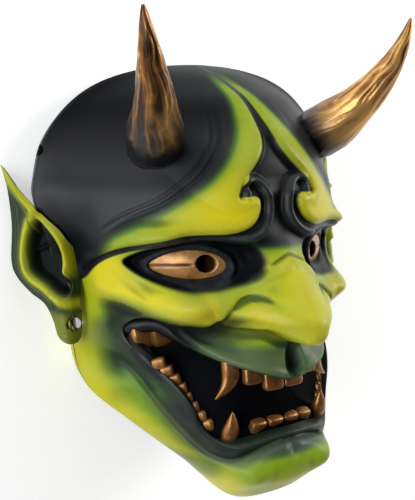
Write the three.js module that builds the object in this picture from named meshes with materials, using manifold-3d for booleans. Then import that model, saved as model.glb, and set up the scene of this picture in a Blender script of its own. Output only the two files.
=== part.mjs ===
// A horned demon mask, hollow behind, lying on its back on the edge of its shell.
// Millimetres. X runs to the mask's own left, Y from the chin up to the crown,
// Z out of the face. The edge of the shell lies at Z = 0.
import * as THREE from 'three';
import { mergeVertices } from 'three/addons/utils/BufferGeometryUtils.js';
import Module from 'manifold-3d';

const wasm = await Module();
wasm.setup();

// Driving dimensions of the face, each table as pairs of a height on the face and a size.
const face = {
  top: 109,
  bottom: -131,
  halfWidth: [
    [-131, 37], [-118, 38.5], [-108, 42.2], [-95, 53], [-83, 64.5], [-65, 80.4], [-56, 83.4],
    [-48, 84], [-31, 84.5], [-12, 87], [8, 92], [30, 98.5], [43, 100.5], [53, 98.8], [66, 96],
    [75, 92.5], [83, 89], [92, 86], [100, 84], [109, 82],
  ],
  midDepth: [
    [-131, 78], [-127, 86], [-120, 97], [-114, 102.5], [-108, 106], [-95, 108.5], [-80, 108],
    [-65, 109], [-52, 109], [-38, 107], [-21, 104], [0, 101.5], [25, 99.5], [41, 98], [55, 94],
    [69, 87], [80, 77], [90, 65], [98, 49], [104, 35], [109, 19],
  ],
  sideDepth: [
    [-131, 76], [-125, 76], [-115, 71], [-100, 60], [-83, 45], [-65, 31], [-48, 22], [-31, 19],
    [20, 18], [50, 14.5], [80, 13], [109, 13],
  ],
  rimHeight: [
    [-131, 47], [-122, 37], [-110, 22], [-98, 10], [-87, 1.6], [-81, 0], [109, 0],
  ],
  fullness: [
    [-131, 0.4], [-108, 0.42], [-97, 0.6], [-84, 0.85], [-66, 1.12], [-50, 1.15], [-36, 0.95],
    [-20, 0.84], [-6, 0.95], [8, 1], [28, 1.1], [50, 1.2], [75, 1.28], [109, 1.4],
  ],
  wall: 4.6,
  hollowFrom: 0.965,
  hollowStep: 0.15,
};

// Lines on the right half of the face as seen from the front, X and Y.
// The third number of a mouth point is the angle round the face that its spoke runs to.
const mouthEdge = [
  [0, -56.5, 0], [11, -52.6, 11], [22, -48.6, 22], [31, -45.4, 32], [39, -41, 41], [46, -35, 50],
  [51.5, -28, 58], [57, -23.6, 66], [63, -25.2, 74], [65.6, -32, 84], [62, -41, 95],
  [54.4, -50, 108], [48.9, -58.4, 118], [43.8, -68.9, 129], [40.5, -78.6, 138], [35.5, -84.2, 146],
  [30.5, -86.2, 153], [25, -85.4, 160], [12.5, -82.3, 171], [0, -81.3, 180],
];
const browLower = [
  [84, -4], [81, 4], [77, 9.5], [71, 13.8], [63, 17.6], [55.5, 20], [48, 21.4], [39, 21.8],
  [31, 21.8], [24, 22.6], [18.4, 24.6], [14.4, 28.1], [12, 32.6], [11.3, 36.6], [12.2, 40],
  [15, 41.4],
];
const browInner = [
  [22.4, 41.2], [21.2, 44.8], [17.8, 49.4], [13.8, 53.6], [8.9, 58.8], [5.4, 64], [3.6, 69.5],
  [2.6, 76], [1.6, 84], [1, 93], [0.6, 102],
];
const socketRim = [
  [69, 6.6], [64, 12.6], [56, 16.8], [47, 18.8], [35, 19.4], [24, 18.8], [15.5, 15.6], [12, 9],
  [14.6, 2.6], [20, -2], [28, -5], [38, -7], [50, -6.4], [61, -1.4],
];
const lidRim = [
  [57.5, 4.6], [53.6, 9.2], [48, 12], [41, 13], [34, 12], [28.5, 8.8], [26.6, 4.6], [29.5, 0.6],
  [36, -1.6], [44, -1.8], [52, 0.4],
];
const cheekEdge = [
  [81, 1], [79.5, -5], [75.5, -10.6], [67, -14.6], [60, -18.8], [52, -22.4], [45, -24],
  [39, -24.2], [34.8, -21.6], [32.6, -15.5],
];
const wingCrease = [
  [35.5, -27], [34, -22], [31.2, -16.2], [26.7, -11.6], [22.4, -9.8], [18.6, -10.2], [15.4, -12.4],
  [13.4, -15.8],
];
const noseUnder = [
  [37, -20], [34, -23.6], [30.5, -25.8], [26, -26.6], [20, -26.6], [16.4, -26.2], [13, -27.6],
  [9, -30.2], [4.4, -32.8], [0, -33.8],
];
const lipGroove = [
  [69, -36], [67, -46], [62, -56], [57, -66], [51.5, -76], [45, -86], [38.5, -94], [32, -96.6],
  [25, -94.2], [17, -90.6], [8, -88], [0, -87.4],
];
const capGroove = [
  [83, 15], [74, 25], [66, 31], [55, 37.5], [44.5, 46], [36, 54.6], [29.2, 64.6], [24.4, 74],
  [21.4, 83], [20, 92],
];
const curlRidge = [
  [19.3, 42.5], [18.6, 47], [14.6, 49], [10, 47], [7, 42], [5.9, 36.5], [6.5, 30.6], [9.3, 25.4],
  [14.5, 21.3], [22.5, 18.9], [33, 17.8],
];
// The corners that close the line round the yellow bands and the cap.
const capCorners = [[0, 115], [125, 115], [125, -6], [86, -6]];

const nose = {
  height: [
    [-40, 17], [-34, 20], [-30, 25], [-26, 27.6], [-21.5, 27.8], [-15, 24], [-7, 18], [0, 12.4],
    [7, 7], [13, 3.6], [19, 1.2], [26, 0], [40, 0],
  ],
  halfWidth: [
    [-44, 15], [-34, 14], [-28, 15.5], [-20, 17.5], [-10, 18.5], [0, 17.5], [10, 13], [20, 9],
  ],
  wing: { x: 23, y: -18.6, acrossX: 13.5, acrossY: 10, height: 7.5 },
  underSoft: 3,
};

const eye = {
  centre: [36, 5.4, 69],
  half: [28, 13.5, 10],
  turn: THREE.MathUtils.degToRad(38),
  pupil: { x: 35.2, y: 6.2, z: 72, radius: 4.8, depth: 50 },
};

const horn = {
  route: [[52, 66.5, 59], [65, 83, 89], [78, 107, 104], [82, 130.8, 106]],
  radius: [[0, 15], [0.12, 14.8], [0.3, 11.8], [0.55, 8.2], [0.8, 4.4], [1, 0.8]],
  sides: 11,
  rings: 10,
  plug: 5,
  gap: 0.3,
  seat: [46, 64],
};

const ear = {
  root: [82.4, 0, 41.8],
  normal: [0.79, 0.05, 0.6],
  middle: [25, 6],
  outline: [
    [50, 57.2], [48.4, 46], [46.4, 25], [47.1, 5.3], [44.2, -3.8], [36.9, -11.6], [28.1, -17.6],
    [23.4, -25.4], [21.9, -30.7], [20, -35.4], [15.6, -38.4], [11, -38.5], [9.4, -34], [9.2, -26],
    [9.4, -8], [9.2, 4], [11, 13], [16.5, 21.8], [25.5, 29.5], [35.5, 38.6], [44.5, 48.5],
  ],
  helix: [
    [49.4, 56.8], [44.5, 47.8], [35.5, 37], [25.3, 27.8], [17.2, 19.5], [13.4, 11.8], [12.4, 5.5],
    [13.4, 1],
  ],
  loop: [
    [29, 33.5], [32.5, 31.1], [37.2, 20.8], [39.3, 7.8], [36.7, -2.3], [26.9, -8.8], [20.7, -13.8],
    [14.3, -16.4], [6, -17],
  ],
  concha: [
    [14.6, 1], [15.5, 11], [20, 18.6], [28, 28], [33, 25.5], [36.5, 15], [36, 6], [33.5, -1],
    [25.5, -6.8], [18.5, -12], [13.5, -13], [11.5, -6],
  ],
  thickness: 3.6,
};

// The two strap holes of one side: where each meets the wall, and the way it is drilled.
const strapHole = {
  radius: 3.4,
  length: 30,
  holes: [
    { place: [82.5, -30, 23], along: [0.6, 0.25, 0.9] },
    { place: [95, 64, 11.5], along: [1, 0.1, 0.4] },
  ],
};

const teeth = {
  // Root, tip, width, thickness and how far the middle leans aside, of the teeth of one side.
  upper: [
    { root: [6.2, -50, 98], tip: [6.4, -62, 99.5], width: 12.4, thickness: 6 },
    { root: [17.6, -46, 95.5], tip: [18, -57.4, 97], width: 11, thickness: 6 },
    { root: [28, -43, 89.5], tip: [37, -63.8, 90.3], width: 11, thickness: 8, lean: [-4, -2.5, 1] },
    { root: [49, -27, 56], tip: [47, -40.4, 54.5], width: 14, thickness: 10 },
    { root: [59, -29, 50], tip: [55.8, -42.6, 50.5], width: 13, thickness: 10 },
  ],
  lower: [
    { root: [5, -86, 96], tip: [5, -77, 99.5], width: 9.8, thickness: 6 },
    { root: [14.8, -86.5, 94.5], tip: [14.8, -77.6, 98], width: 9.6, thickness: 6 },
    { root: [29.4, -86.5, 91], tip: [29.8, -70.5, 95.5], width: 9.4, thickness: 8, lean: [0, 0, 1] },
  ],
  // The row along each side of the lower jaw: its tips, and where a root lies from its tip.
  side: {
    tips: [
      [52.6, -46.4, 67.6], [48.4, -52.4, 71.2], [44.8, -58.6, 74], [42, -65, 76.5],
      [39.2, -71.4, 80.8], [35, -79, 85.4],
    ],
    count: 8,
    root: [5.5, -1.5, -4.5],
    width: 6.3,
    thickness: 5,
  },
};

// The mouth is closed by a deep dish behind the lips, and the lips stand out in front of it.
const lining = {
  middle: -76,
  depth: 46.5,
  lip: 13,
  corner: [63, -31],
  wall: 3.2,
  shares: [0.02, 0.45, 0.75, 0.9, 1],
};

// Facets of the shell that lie flatter than this are run together, and so are finer slivers
// where solids join.
const flattest = 0.47;
const finest = 0.08;

const facets = { columns: 82, faceRows: 28, skirtRows: 2, innerRows: 6 };

// Value at a place from a table of pairs, with a smooth curve that never overshoots them.
function fromTable(pairs, place) {
  const last = pairs.length - 1;
  const at = THREE.MathUtils.clamp(place, pairs[0][0], pairs[last][0]);
  const slope = (i) => (pairs[i + 1][1] - pairs[i][1]) / (pairs[i + 1][0] - pairs[i][0]);
  const tangent = (i) => {
    if (i === 0) return slope(0);
    if (i === last) return slope(last - 1);
    const before = slope(i - 1);
    const after = slope(i);
    if (before * after <= 0) return 0;
    return (2 * before * after) / (before + after);
  };
  let i = 0;
  while (i < last - 1 && at > pairs[i + 1][0]) i += 1;
  const span = pairs[i + 1][0] - pairs[i][0];
  const t = (at - pairs[i][0]) / span;
  return (1 + 2 * t) * (1 - t) ** 2 * pairs[i][1]
    + t * (1 - t) ** 2 * span * tangent(i)
    + t * t * (3 - 2 * t) * pairs[i + 1][1]
    + t * t * (t - 1) * span * tangent(i + 1);
}

const clamp01 = (v) => THREE.MathUtils.clamp(v, 0, 1);
const ease = (v) => clamp01(v) ** 2 * (3 - 2 * clamp01(v));
const bell = (distance, width) => Math.exp(-((distance / width) ** 2));
const fadeEnds = (along, start, end) => ease(along / start) * ease((1 - along) / end);

// A smooth line through points, as short steps with the share of its length at each.
function smoothLine(points, closed = false, steps = 8) {
  const places = points.map(([x, y, z = 0]) => new THREE.Vector3(x, y, z));
  const curve = new THREE.CatmullRomCurve3(places, closed, 'catmullrom', 0.5);
  return withShares(curve.getPoints(points.length * steps).map((p) => [p.x, p.y]));
}

function withShares(points) {
  const starts = [0];
  for (let i = 1; i < points.length; i += 1) {
    const [x, y] = points[i];
    starts.push(starts[i - 1] + Math.hypot(x - points[i - 1][0], y - points[i - 1][1]));
  }
  const whole = starts[starts.length - 1];
  return points.map(([x, y], i) => [x, y, starts[i] / whole]);
}

// Nearest place on a line: distance, positive on the left hand of it, and share of its length.
function nearest(x, y, line) {
  let best = { distance: Infinity, side: 1, along: 0 };
  for (let i = 0; i + 1 < line.length; i += 1) {
    const [ax, ay, from] = line[i];
    const [bx, by, to] = line[i + 1];
    const dx = bx - ax;
    const dy = by - ay;
    const t = clamp01(((x - ax) * dx + (y - ay) * dy) / Math.max(dx * dx + dy * dy, 1e-12));
    const distance = Math.hypot(x - ax - t * dx, y - ay - t * dy);
    if (distance < best.distance) {
      const side = dx * (y - ay) - dy * (x - ax) < 0 ? -1 : 1;
      best = { distance, side, along: from + (to - from) * t };
    }
  }
  return best;
}

// Distance to a closed line, positive inside it.
function depthInside(x, y, line) {
  let inside = false;
  for (let i = 0; i + 1 < line.length; i += 1) {
    const [ax, ay] = line[i];
    const [bx, by] = line[i + 1];
    if ((ay > y) !== (by > y) && x < ((bx - ax) * (y - ay)) / (by - ay) + ax) inside = !inside;
  }
  const { distance } = nearest(x, y, line);
  return inside ? distance : -distance;
}

const lines = {
  mouth: smoothLine(mouthEdge.map(([x, y]) => [x, y])),
  socket: smoothLine(socketRim, true),
  lid: smoothLine(lidRim, true),
  cheek: smoothLine(cheekEdge),
  wing: smoothLine(wingCrease),
  under: smoothLine(noseUnder),
  lip: smoothLine(lipGroove),
  cap: smoothLine(capGroove),
  curl: smoothLine(curlRidge),
  earOutline: smoothLine(ear.outline, true),
  earHelix: smoothLine(ear.helix),
  earLoop: smoothLine(ear.loop),
  earConcha: smoothLine(ear.concha, true),
};
const lowerSide = smoothLine(browLower);
const innerSide = smoothLine(browInner);
lines.capSide = withShares([...lowerSide, ...innerSide, ...capCorners, lowerSide[0]]);

// Half the width of the face at a height, closing in a round end at the crown and the chin.
function halfWidth(y) {
  const reach = Math.abs(y - (face.top + face.bottom) / 2) / ((face.top - face.bottom) / 2);
  return fromTable(face.halfWidth, y) * Math.sqrt(Math.max(0, 1 - Math.min(reach, 1) ** 8));
}

// The plain dome of the face, before anything is carved on it.
function dome(x, y) {
  const share = clamp01(Math.abs(x) / Math.max(halfWidth(y), 0.001));
  const low = fromTable(face.sideDepth, y);
  return low + (fromTable(face.midDepth, y) - low) * (1 - share * share) ** fromTable(face.fullness, y);
}

// A wedge with a round tip and a soft bump for each nostril wing, cut off along its under edge.
function noseRise(x, y) {
  const { wing } = nose;
  const wedge = fromTable(nose.height, y) * Math.exp(-((x / fromTable(nose.halfWidth, y)) ** 2.2));
  const reach = Math.hypot((x - wing.x) / wing.acrossX, (y - wing.y) / wing.acrossY);
  const under = nearest(x, y, lines.under);
  const above = ease((1.5 - under.side * under.distance) / nose.underSoft);
  return (wedge + wing.height * Math.exp(-(reach ** 3))) * above;
}

// The bands stand up from their lower edge and sink away above it; the middle between them is low.
function browRise(x, y) {
  const up = depthInside(x, y, lines.capSide);
  const stand = 1 - (1 - clamp01(up / 4.5)) ** 2;
  const reach = ease((88 - x) / 10) * ease((102 - y) / 45);
  const valley = ease((1 - up) / 4) * ease((y - 40) / 10) * ease((100 - y) / 40);
  return 4.2 * stand * bell(Math.max(up, 0), 20) * reach - 2.6 * valley
    + 9 * bell(x - 60, 12) * bell(y - 20, 5.5);
}

const frownDepth = (x, y) => 4.5 * bell(x, 12) * bell(y - 33, 17);

// A round roll that curls up into a small ball beside each band.
function curlRise(x, y) {
  const ridge = nearest(x, y, lines.curl);
  const wide = 3.6 + 1.2 * ease(ridge.along / 0.3);
  const round = (1 - Math.min(ridge.distance / wide, 1) ** 2) ** 1.3;
  const ball = 1 - Math.min(Math.hypot(x - 19.2, y - 42.6) / 5, 1) ** 2;
  return 4.4 * round * ease((1 - ridge.along) / 0.25) * ease(ridge.along / 0.1) + 3.6 * ball;
}

function eyeRise(x, y, behind) {
  const inSocket = depthInside(x, y, lines.socket);
  const outward = clamp01((x - 12) / 50);
  const sunk = -(7.5 + 2.5 * outward) * ease((inSocket + 1.2) / 6);
  if (behind) return sunk - 8 * ease((inSocket + 2) / 6);
  const inLid = depthInside(x, y, lines.lid);
  return sunk + 3.2 * bell(inLid + 1.8, 2) - 6 * ease((inLid + 0.5) / 3);
}

function cheekRise(x, y) {
  const edge = nearest(x, y, lines.cheek);
  const below = edge.side * edge.distance;
  const bone = 15 * bell(x - 51, 14) * bell(y + 14, 8.5);
  const hollow = ease((below + 1.5) / 6) * bell(Math.max(below - 9, 0), 12);
  const corner = 3 * bell(Math.hypot(x - 74, (y + 46) / 1.8), 7);
  return bone - 8 * hollow * fadeEnds(edge.along, 0.12, 0.1) - corner;
}

function mouthRise(x, y) {
  const muzzle = 3.5 * bell(x - 20, 20) * bell(y + 46, 8);
  const philtrum = 6 * Math.max(0, 1 - (x / 6.2) ** 2 - ((y + 45.5) / 10.5) ** 2) ** 0.8;
  const { distance } = nearest(x, y, lines.mouth);
  return muzzle - philtrum + 2 * bell(distance - 3, 2.2) - 4 * ease((2 - distance) / 2);
}

function chinRise(x, y) {
  const pad = 3.5 * Math.exp(-(((x / 28) ** 2 + ((y + 104) / 12) ** 2) ** 1.3));
  return pad + 8 * bell(x - 26, 10) * bell(y + 104, 10) - 2.2 * bell(x, 2.6) * bell(y + 91, 5);
}

function grooveRise(x, y) {
  const crease = nearest(x, y, lines.wing);
  const cap = nearest(x, y, lines.cap);
  const lip = nearest(x, y, lines.lip);
  return 1.6 * bell(Math.hypot(x - 52, y - 67), 19)
    - 3.4 * bell(crease.distance, 2) * fadeEnds(crease.along, 0.1, 0.35)
    - 0.9 * bell(cap.distance, 1.6) * fadeEnds(cap.along, 0.2, 0.25)
    - 3.4 * bell(lip.distance, 2.4) * ease(lip.along / 0.25);
}

// The carved front of the face.
function carved(x, y) {
  const across = Math.abs(x);
  return dome(across, y) + noseRise(across, y) + browRise(across, y) - frownDepth(across, y)
    + curlRise(across, y) + eyeRise(across, y, false) + cheekRise(across, y) + mouthRise(across, y)
    + chinRise(across, y) + grooveRise(across, y);
}

// The softer form that the hollow back follows, never above the front.
function softened(x, y) {
  const across = Math.abs(x);
  const lip = nearest(across, y, lines.lip);
  const crease = nearest(across, y, lines.wing);
  return dome(across, y) + 0.8 * noseRise(across, y) + eyeRise(across, y, true)
    + Math.min(0, cheekRise(across, y)) - 2 * bell(lip.distance, 4) - frownDepth(across, y)
    - 3 * bell(crease.distance, 5)
    - 2.6 * bell(across, 14) * bell(y - 50, 26) - 4 * bell(across, 8) * bell(y + 45, 12);
}

// Place on the front for a share u of the way round the face and a share s from the mouth out.
// From s = 0 to 1 it runs over the face to its widest outline, from 1 to 2 down to the rim.
function shellPoint(u, s, form) {
  const turn = u - Math.floor(u);
  const mirrored = turn > 0.5;
  const half = 2 * (mirrored ? 1 - turn : turn);
  const angle = 180 * (0.5 * half + 0.5 * half * half);
  const middle = (face.top + face.bottom) / 2;
  const outY = middle + ((face.top - face.bottom) / 2) * Math.cos(THREE.MathUtils.degToRad(angle));
  const outX = halfWidth(outY);
  const low = fromTable(face.sideDepth, outY);
  const inX = fromTable(spokes.x, angle);
  const inY = fromTable(spokes.y, angle);
  const t = Math.min(s, 1);
  const share = 1 - (1 - t) ** 1.2;
  let x = inX + (outX - inX) * share;
  let y = inY + (outY - inY) * share;
  let z = t < 1 ? form(x, y) : low;
  if (s > 1) {
    const rim = fromTable(face.rimHeight, outY);
    const drop = s - 1;
    const tuck = 0.36 * (low - rim) * drop ** 1.6;
    x -= (tuck * outX) / Math.hypot(outX, outY - middle);
    y -= (tuck * (outY - middle)) / Math.hypot(outX, outY - middle);
    z = low + (rim - low) * drop;
  }
  return new THREE.Vector3(mirrored ? -x : x, y, z);
}

const spokes = {
  x: mouthEdge.map(([x, , angle]) => [angle, x]),
  y: mouthEdge.map(([, y, angle]) => [angle, y]),
};

// The direction that the softened front faces.
function shellNormal(u, s) {
  const du = 0.002;
  const ds = 0.01;
  const alongU = shellPoint(u + du, s, softened).sub(shellPoint(u - du, s, softened));
  const before = shellPoint(u, Math.max(s - ds, 0), softened);
  const alongS = shellPoint(u, Math.min(s + ds, 2), softened).sub(before);
  return alongU.cross(alongS).normalize();
}

// A point on the hollow back, one wall behind the front and thicker where the horns are set.
function innerPoint(u, s) {
  const point = shellPoint(u, s, softened);
  const [seatX, seatY] = horn.seat;
  const nearHorn = bell(Math.hypot(Math.abs(point.x) - seatX, point.y - seatY), 26);
  return point.addScaledVector(shellNormal(u, s), -face.wall - 8 * nearHorn);
}

// A point on the inner edge of the flat rim.
function rimPoint(u) {
  const point = shellPoint(u, 2, carved);
  const out = new THREE.Vector3(point.x, point.y - (face.top + face.bottom) / 2, 0).normalize();
  return point.addScaledVector(out, -face.wall);
}

// A closed skin over rings of points. Rings of equal length are joined in turn; with
// wrap, the last ring joins the first, and otherwise each end closes on its middle.
function skinOver(rings, wrap) {
  const count = rings[0].length;
  const positions = rings.flat().flatMap((p) => [p.x, p.y, p.z]);
  const index = [];
  const joins = wrap ? rings.length : rings.length - 1;
  for (let r = 0; r < joins; r += 1) {
    const a = r * count;
    const b = ((r + 1) % rings.length) * count;
    for (let i = 0; i < count; i += 1) {
      const j = (i + 1) % count;
      index.push(a + i, a + j, b + j, a + i, b + j, b + i);
    }
  }
  if (!wrap) {
    [[0, false], [rings.length - 1, true]].forEach(([r, end]) => {
      const middle = rings[r].reduce((sum, p) => sum.add(p), new THREE.Vector3());
      middle.divideScalar(count);
      const tip = positions.length / 3;
      positions.push(middle.x, middle.y, middle.z);
      for (let i = 0; i < count; i += 1) {
        const j = (i + 1) % count;
        const a = r * count;
        index.push(...(end ? [a + i, a + j, tip] : [a + j, a + i, tip]));
      }
    });
  }
  const geometry = new THREE.BufferGeometry();
  geometry.setAttribute('position', new THREE.Float32BufferAttribute(positions, 3));
  geometry.setIndex(index);
  return geometry;
}

function signedVolume(geometry) {
  const p = geometry.attributes.position;
  const index = geometry.index.array;
  const corner = (i) => new THREE.Vector3().fromBufferAttribute(p, index[i]);
  let sum = 0;
  for (let i = 0; i < index.length; i += 3) {
    sum += corner(i).dot(corner(i + 1).cross(corner(i + 2)));
  }
  return sum / 6;
}

// A solid for joining and cutting, turned right side out.
function asSolid(source) {
  const bare = source.clone();
  bare.deleteAttribute('normal');
  bare.deleteAttribute('uv');
  const geometry = mergeVertices(bare, 1e-4);
  const triVerts = Uint32Array.from(geometry.index.array);
  if (signedVolume(geometry) < 0) {
    for (let i = 0; i < triVerts.length; i += 3) {
      [triVerts[i], triVerts[i + 1]] = [triVerts[i + 1], triVerts[i]];
    }
  }
  const vertProperties = Float32Array.from(geometry.attributes.position.array);
  return new wasm.Manifold(new wasm.Mesh({ numProp: 3, vertProperties, triVerts }));
}

function asGeometry(solid) {
  const mesh = solid.getMesh();
  const geometry = new THREE.BufferGeometry();
  geometry.setAttribute('position', new THREE.Float32BufferAttribute(mesh.vertProperties, 3));
  geometry.setIndex(Array.from(mesh.triVerts));
  geometry.computeVertexNormals();
  return geometry;
}

const mirror = (solid) => solid.mirror([1, 0, 0]);

// A point of the dish behind the lips, for a share k of the way from its middle to its edge.
// The dish hangs deep behind the lips, but close under them at the corners of the mouth.
function liningPoint(u, k, behind) {
  const step = 0.004;
  const edge = shellPoint(u, 0, carved);
  const along = shellPoint(u + step, 0, carved).sub(shellPoint(u - step, 0, carved));
  const out = new THREE.Vector3(-along.y, along.x, 0).normalize();
  const atCorner = bell(Math.hypot(Math.abs(edge.x) - lining.corner[0], edge.y - lining.corner[1]), 17);
  const lip = lining.lip * (1 - 0.6 * atCorner);
  const z = lining.depth + (edge.z - lip - lining.depth) * k ** 6;
  const point = new THREE.Vector3(edge.x * k, lining.middle + (edge.y - lining.middle) * k, z);
  if (!behind) return point;
  point.z -= lining.wall;
  return point.addScaledVector(out, lining.wall * k * (1 - atCorner));
}

// The hollow shell in one skin: dish, lips, front, skirt, flat rim, hollow back and back of the dish.
function shellSolid() {
  const { columns, faceRows, skirtRows, innerRows } = facets;
  const row = (place) => Array.from({ length: columns }, (_, i) => place(i / columns));
  const rings = lining.shares.map((k) => row((u) => liningPoint(u, k, false)));
  for (let r = 0; r <= faceRows; r += 1) rings.push(row((u) => shellPoint(u, r / faceRows, carved)));
  for (let r = 1; r <= skirtRows; r += 1) {
    rings.push(row((u) => shellPoint(u, 1 + r / skirtRows, carved)));
  }
  rings.push(row(rimPoint));
  for (let r = 0; r < innerRows; r += 1) {
    rings.push(row((u) => innerPoint(u, face.hollowFrom - r * face.hollowStep)));
  }
  [...lining.shares].reverse().forEach((k) => rings.push(row((u) => liningPoint(u, k, true))));
  return asSolid(skinOver(rings, false)).simplify(flattest);
}

// The eyeball, an egg turned outward with the slope of the face.
function eyeballSolid() {
  const ball = new THREE.SphereGeometry(1, 16, 10);
  ball.scale(...eye.half);
  ball.rotateY(eye.turn);
  ball.translate(...eye.centre);
  return asSolid(ball);
}

function cylinderSolid(radius, length, place, direction, sides) {
  const cylinder = new THREE.CylinderGeometry(radius, radius, length, sides);
  const up = new THREE.Vector3(0, 1, 0);
  cylinder.applyQuaternion(new THREE.Quaternion().setFromUnitVectors(up, direction.normalize()));
  cylinder.translate(...place);
  return asSolid(cylinder);
}

// A tooth from its root in the gum to its tip; one whose middle leans is pointed.
function toothSolid({ root, tip, width, thickness, lean = [0, 0, 0], row }) {
  const start = new THREE.Vector3(...root);
  const along = new THREE.Vector3(...tip).sub(start);
  const across = row ? row.clone().projectOnPlane(along) : along.clone().cross(new THREE.Vector3(0, 0, 1));
  across.normalize();
  const front = across.clone().cross(along).normalize();
  const pointed = lean.some((v) => v !== 0);
  const taper = pointed ? [0.9, 0.75, 0.1] : [0.9, 1, 0.8];
  const sides = pointed ? 6 : 4;
  const corner = pointed ? 1 : 1.3;
  const rings = [0, 0.55, 1].map((t, k) => Array.from({ length: sides }, (_, i) => {
    const a = ((i + 0.5) / sides) * 2 * Math.PI;
    return start.clone().addScaledVector(along, t)
      .addScaledVector(new THREE.Vector3(...lean), Math.sin(Math.PI * t))
      .addScaledVector(across, 0.5 * corner * width * taper[k] * Math.cos(a))
      .addScaledVector(front, 0.5 * corner * thickness * taper[k] * Math.sin(a));
  }));
  return asSolid(skinOver(rings, false));
}

// The side row of the lower jaw: teeth at equal steps along a smoothed line, each turned to follow it.
function sideTeeth() {
  const { side } = teeth;
  const places = side.tips.map((p) => new THREE.Vector3(...p));
  const line = new THREE.CatmullRomCurve3(places, false, 'catmullrom', 0.5);
  return Array.from({ length: side.count }, (_, i) => {
    const share = i / (side.count - 1);
    const tip = line.getPointAt(share).toArray();
    return toothSolid({
      root: tip.map((v, k) => v + side.root[k]),
      tip,
      width: side.width,
      thickness: side.thickness,
      row: line.getTangentAt(share),
    });
  });
}

const hornRoute = new THREE.CubicBezierCurve3(...horn.route.map((p) => new THREE.Vector3(...p)));
const hornAxis = new THREE.Vector3(...horn.route[1]).sub(new THREE.Vector3(...horn.route[0]));
hornAxis.normalize();

// The horn: a round section carried along its bent route, ending in a flat plug.
function hornSolid() {
  const rings = [];
  const side = new THREE.Vector3(0, 0, 1).cross(hornAxis).normalize();
  for (let r = 0; r <= horn.rings; r += 1) {
    const t = r / horn.rings;
    const middle = hornRoute.getPoint(t);
    const along = hornRoute.getTangent(t);
    const front = side.clone().cross(along).normalize();
    const across = along.clone().cross(front);
    const radius = fromTable(horn.radius, t);
    rings.push(Array.from({ length: horn.sides }, (_, i) => {
      const a = (i / horn.sides) * 2 * Math.PI;
      return middle.clone().addScaledVector(across, radius * Math.cos(a))
        .addScaledVector(front, radius * Math.sin(a));
    }));
  }
  const foot = rings[0].map((p) => p.clone().addScaledVector(hornAxis, -horn.plug));
  return asSolid(skinOver([foot, ...rings], false));
}

// The round recess that the horn's plug sits in.
function hornSocketSolid() {
  const length = 30;
  const middle = new THREE.Vector3(...horn.route[0]);
  middle.addScaledVector(hornAxis, length / 2 - horn.plug - horn.gap);
  const radius = horn.radius[0][1] + horn.gap;
  return cylinderSolid(radius, length, middle.toArray(), hornAxis.clone(), 28);
}

// Height of the ear's front over its own plane: two raised ridges round a deep hollow.
function earRelief(h, v) {
  const deep = depthInside(h, v, lines.earConcha);
  const helix = nearest(h, v, lines.earHelix).distance;
  const loop = nearest(h, v, lines.earLoop).distance;
  const edge = depthInside(h, v, lines.earOutline);
  return 1.2 - 7 * ease((deep + 0.5) / 5) + 2.6 * bell(helix, 2.4) + 2.2 * bell(loop, 2.2)
    - 1.6 * bell(edge - 4, 3) * ease((helix - 3) / 3) - 2.2 * ease((3 - edge) / 3);
}

function earSolid() {
  const normal = new THREE.Vector3(...ear.normal).normalize();
  const outward = new THREE.Vector3(normal.z, 0, -normal.x).normalize();
  const upward = normal.clone().cross(outward);
  const lift = (h) => 0.012 * Math.max(h - 36, 0) ** 2 - 0.55 * Math.max(14.5 - h, 0) ** 1.5;
  const place = (h, v, height) => new THREE.Vector3(...ear.root)
    .addScaledVector(outward, h).addScaledVector(upward, v)
    .addScaledVector(normal, height + lift(h));
  const [mh, mv] = ear.middle;
  const count = 28;
  const outline = smoothLine(ear.outline, true, 8);
  const at = (i, s) => {
    const [h, v] = outline[Math.round((i / count) * (outline.length - 1))];
    return [mh + (h - mh) * s, mv + (v - mv) * s];
  };
  const ring = (s, height) => Array.from({ length: count }, (_, i) => {
    const [h, v] = at(i, s);
    return place(h, v, height(h, v));
  });
  const back = (s) => () => -ear.thickness * Math.sqrt(1 - s ** 4) - 5 * (1 - s * s);
  const rings = [0.3, 0.55, 0.7, 0.82, 0.92, 1].map((s) => ring(s, earRelief));
  rings.push(ring(0.96, back(0.96)), ring(0.84, back(0.84)), ring(0.45, back(0.45)));
  return asSolid(skinOver(rings, false));
}

function maskGeometry() {
  const { pupil } = eye;
  const eyeball = eyeballSolid();
  const earPart = earSolid();
  let solid = shellSolid().add(eyeball).add(mirror(eyeball)).add(earPart).add(mirror(earPart));
  [...teeth.upper, ...teeth.lower].map(toothSolid).concat(sideTeeth()).forEach((tooth) => {
    solid = solid.add(tooth).add(mirror(tooth));
  });
  const straight = new THREE.Vector3(0, 0, 1);
  const holes = [
    cylinderSolid(pupil.radius, pupil.depth, [pupil.x, pupil.y, pupil.z], straight, 16),
    hornSocketSolid(),
  ];
  strapHole.holes.forEach(({ place, along }) => {
    holes.push(cylinderSolid(strapHole.radius, strapHole.length, place, new THREE.Vector3(...along), 10));
  });
  holes.forEach((hole) => {
    solid = solid.subtract(hole).subtract(mirror(hole));
  });
  // The pockets that teeth and jaw close off between them are filled.
  const [whole] = solid.asOriginal().simplify(finest).decompose()
    .sort((a, b) => b.volume() - a.volume());
  return asGeometry(whole);
}

function namedMesh(name, geometry, material) {
  const mesh = new THREE.Mesh(geometry, material);
  mesh.name = name;
  return mesh;
}

const paintedResin = new THREE.MeshStandardMaterial({ color: 0x9aa61f, roughness: 0.42 });
const bronzePaint = new THREE.MeshStandardMaterial({
  color: 0x8a5a28, roughness: 0.38, metalness: 0.6,
});

const mask = new THREE.Group();
mask.add(namedMesh('mask', maskGeometry(), paintedResin));
const leftHorn = hornSolid();
mask.add(namedMesh('horn_left', asGeometry(leftHorn), bronzePaint));
mask.add(namedMesh('horn_right', asGeometry(mirror(leftHorn)), bronzePaint));

export default mask;
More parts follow.
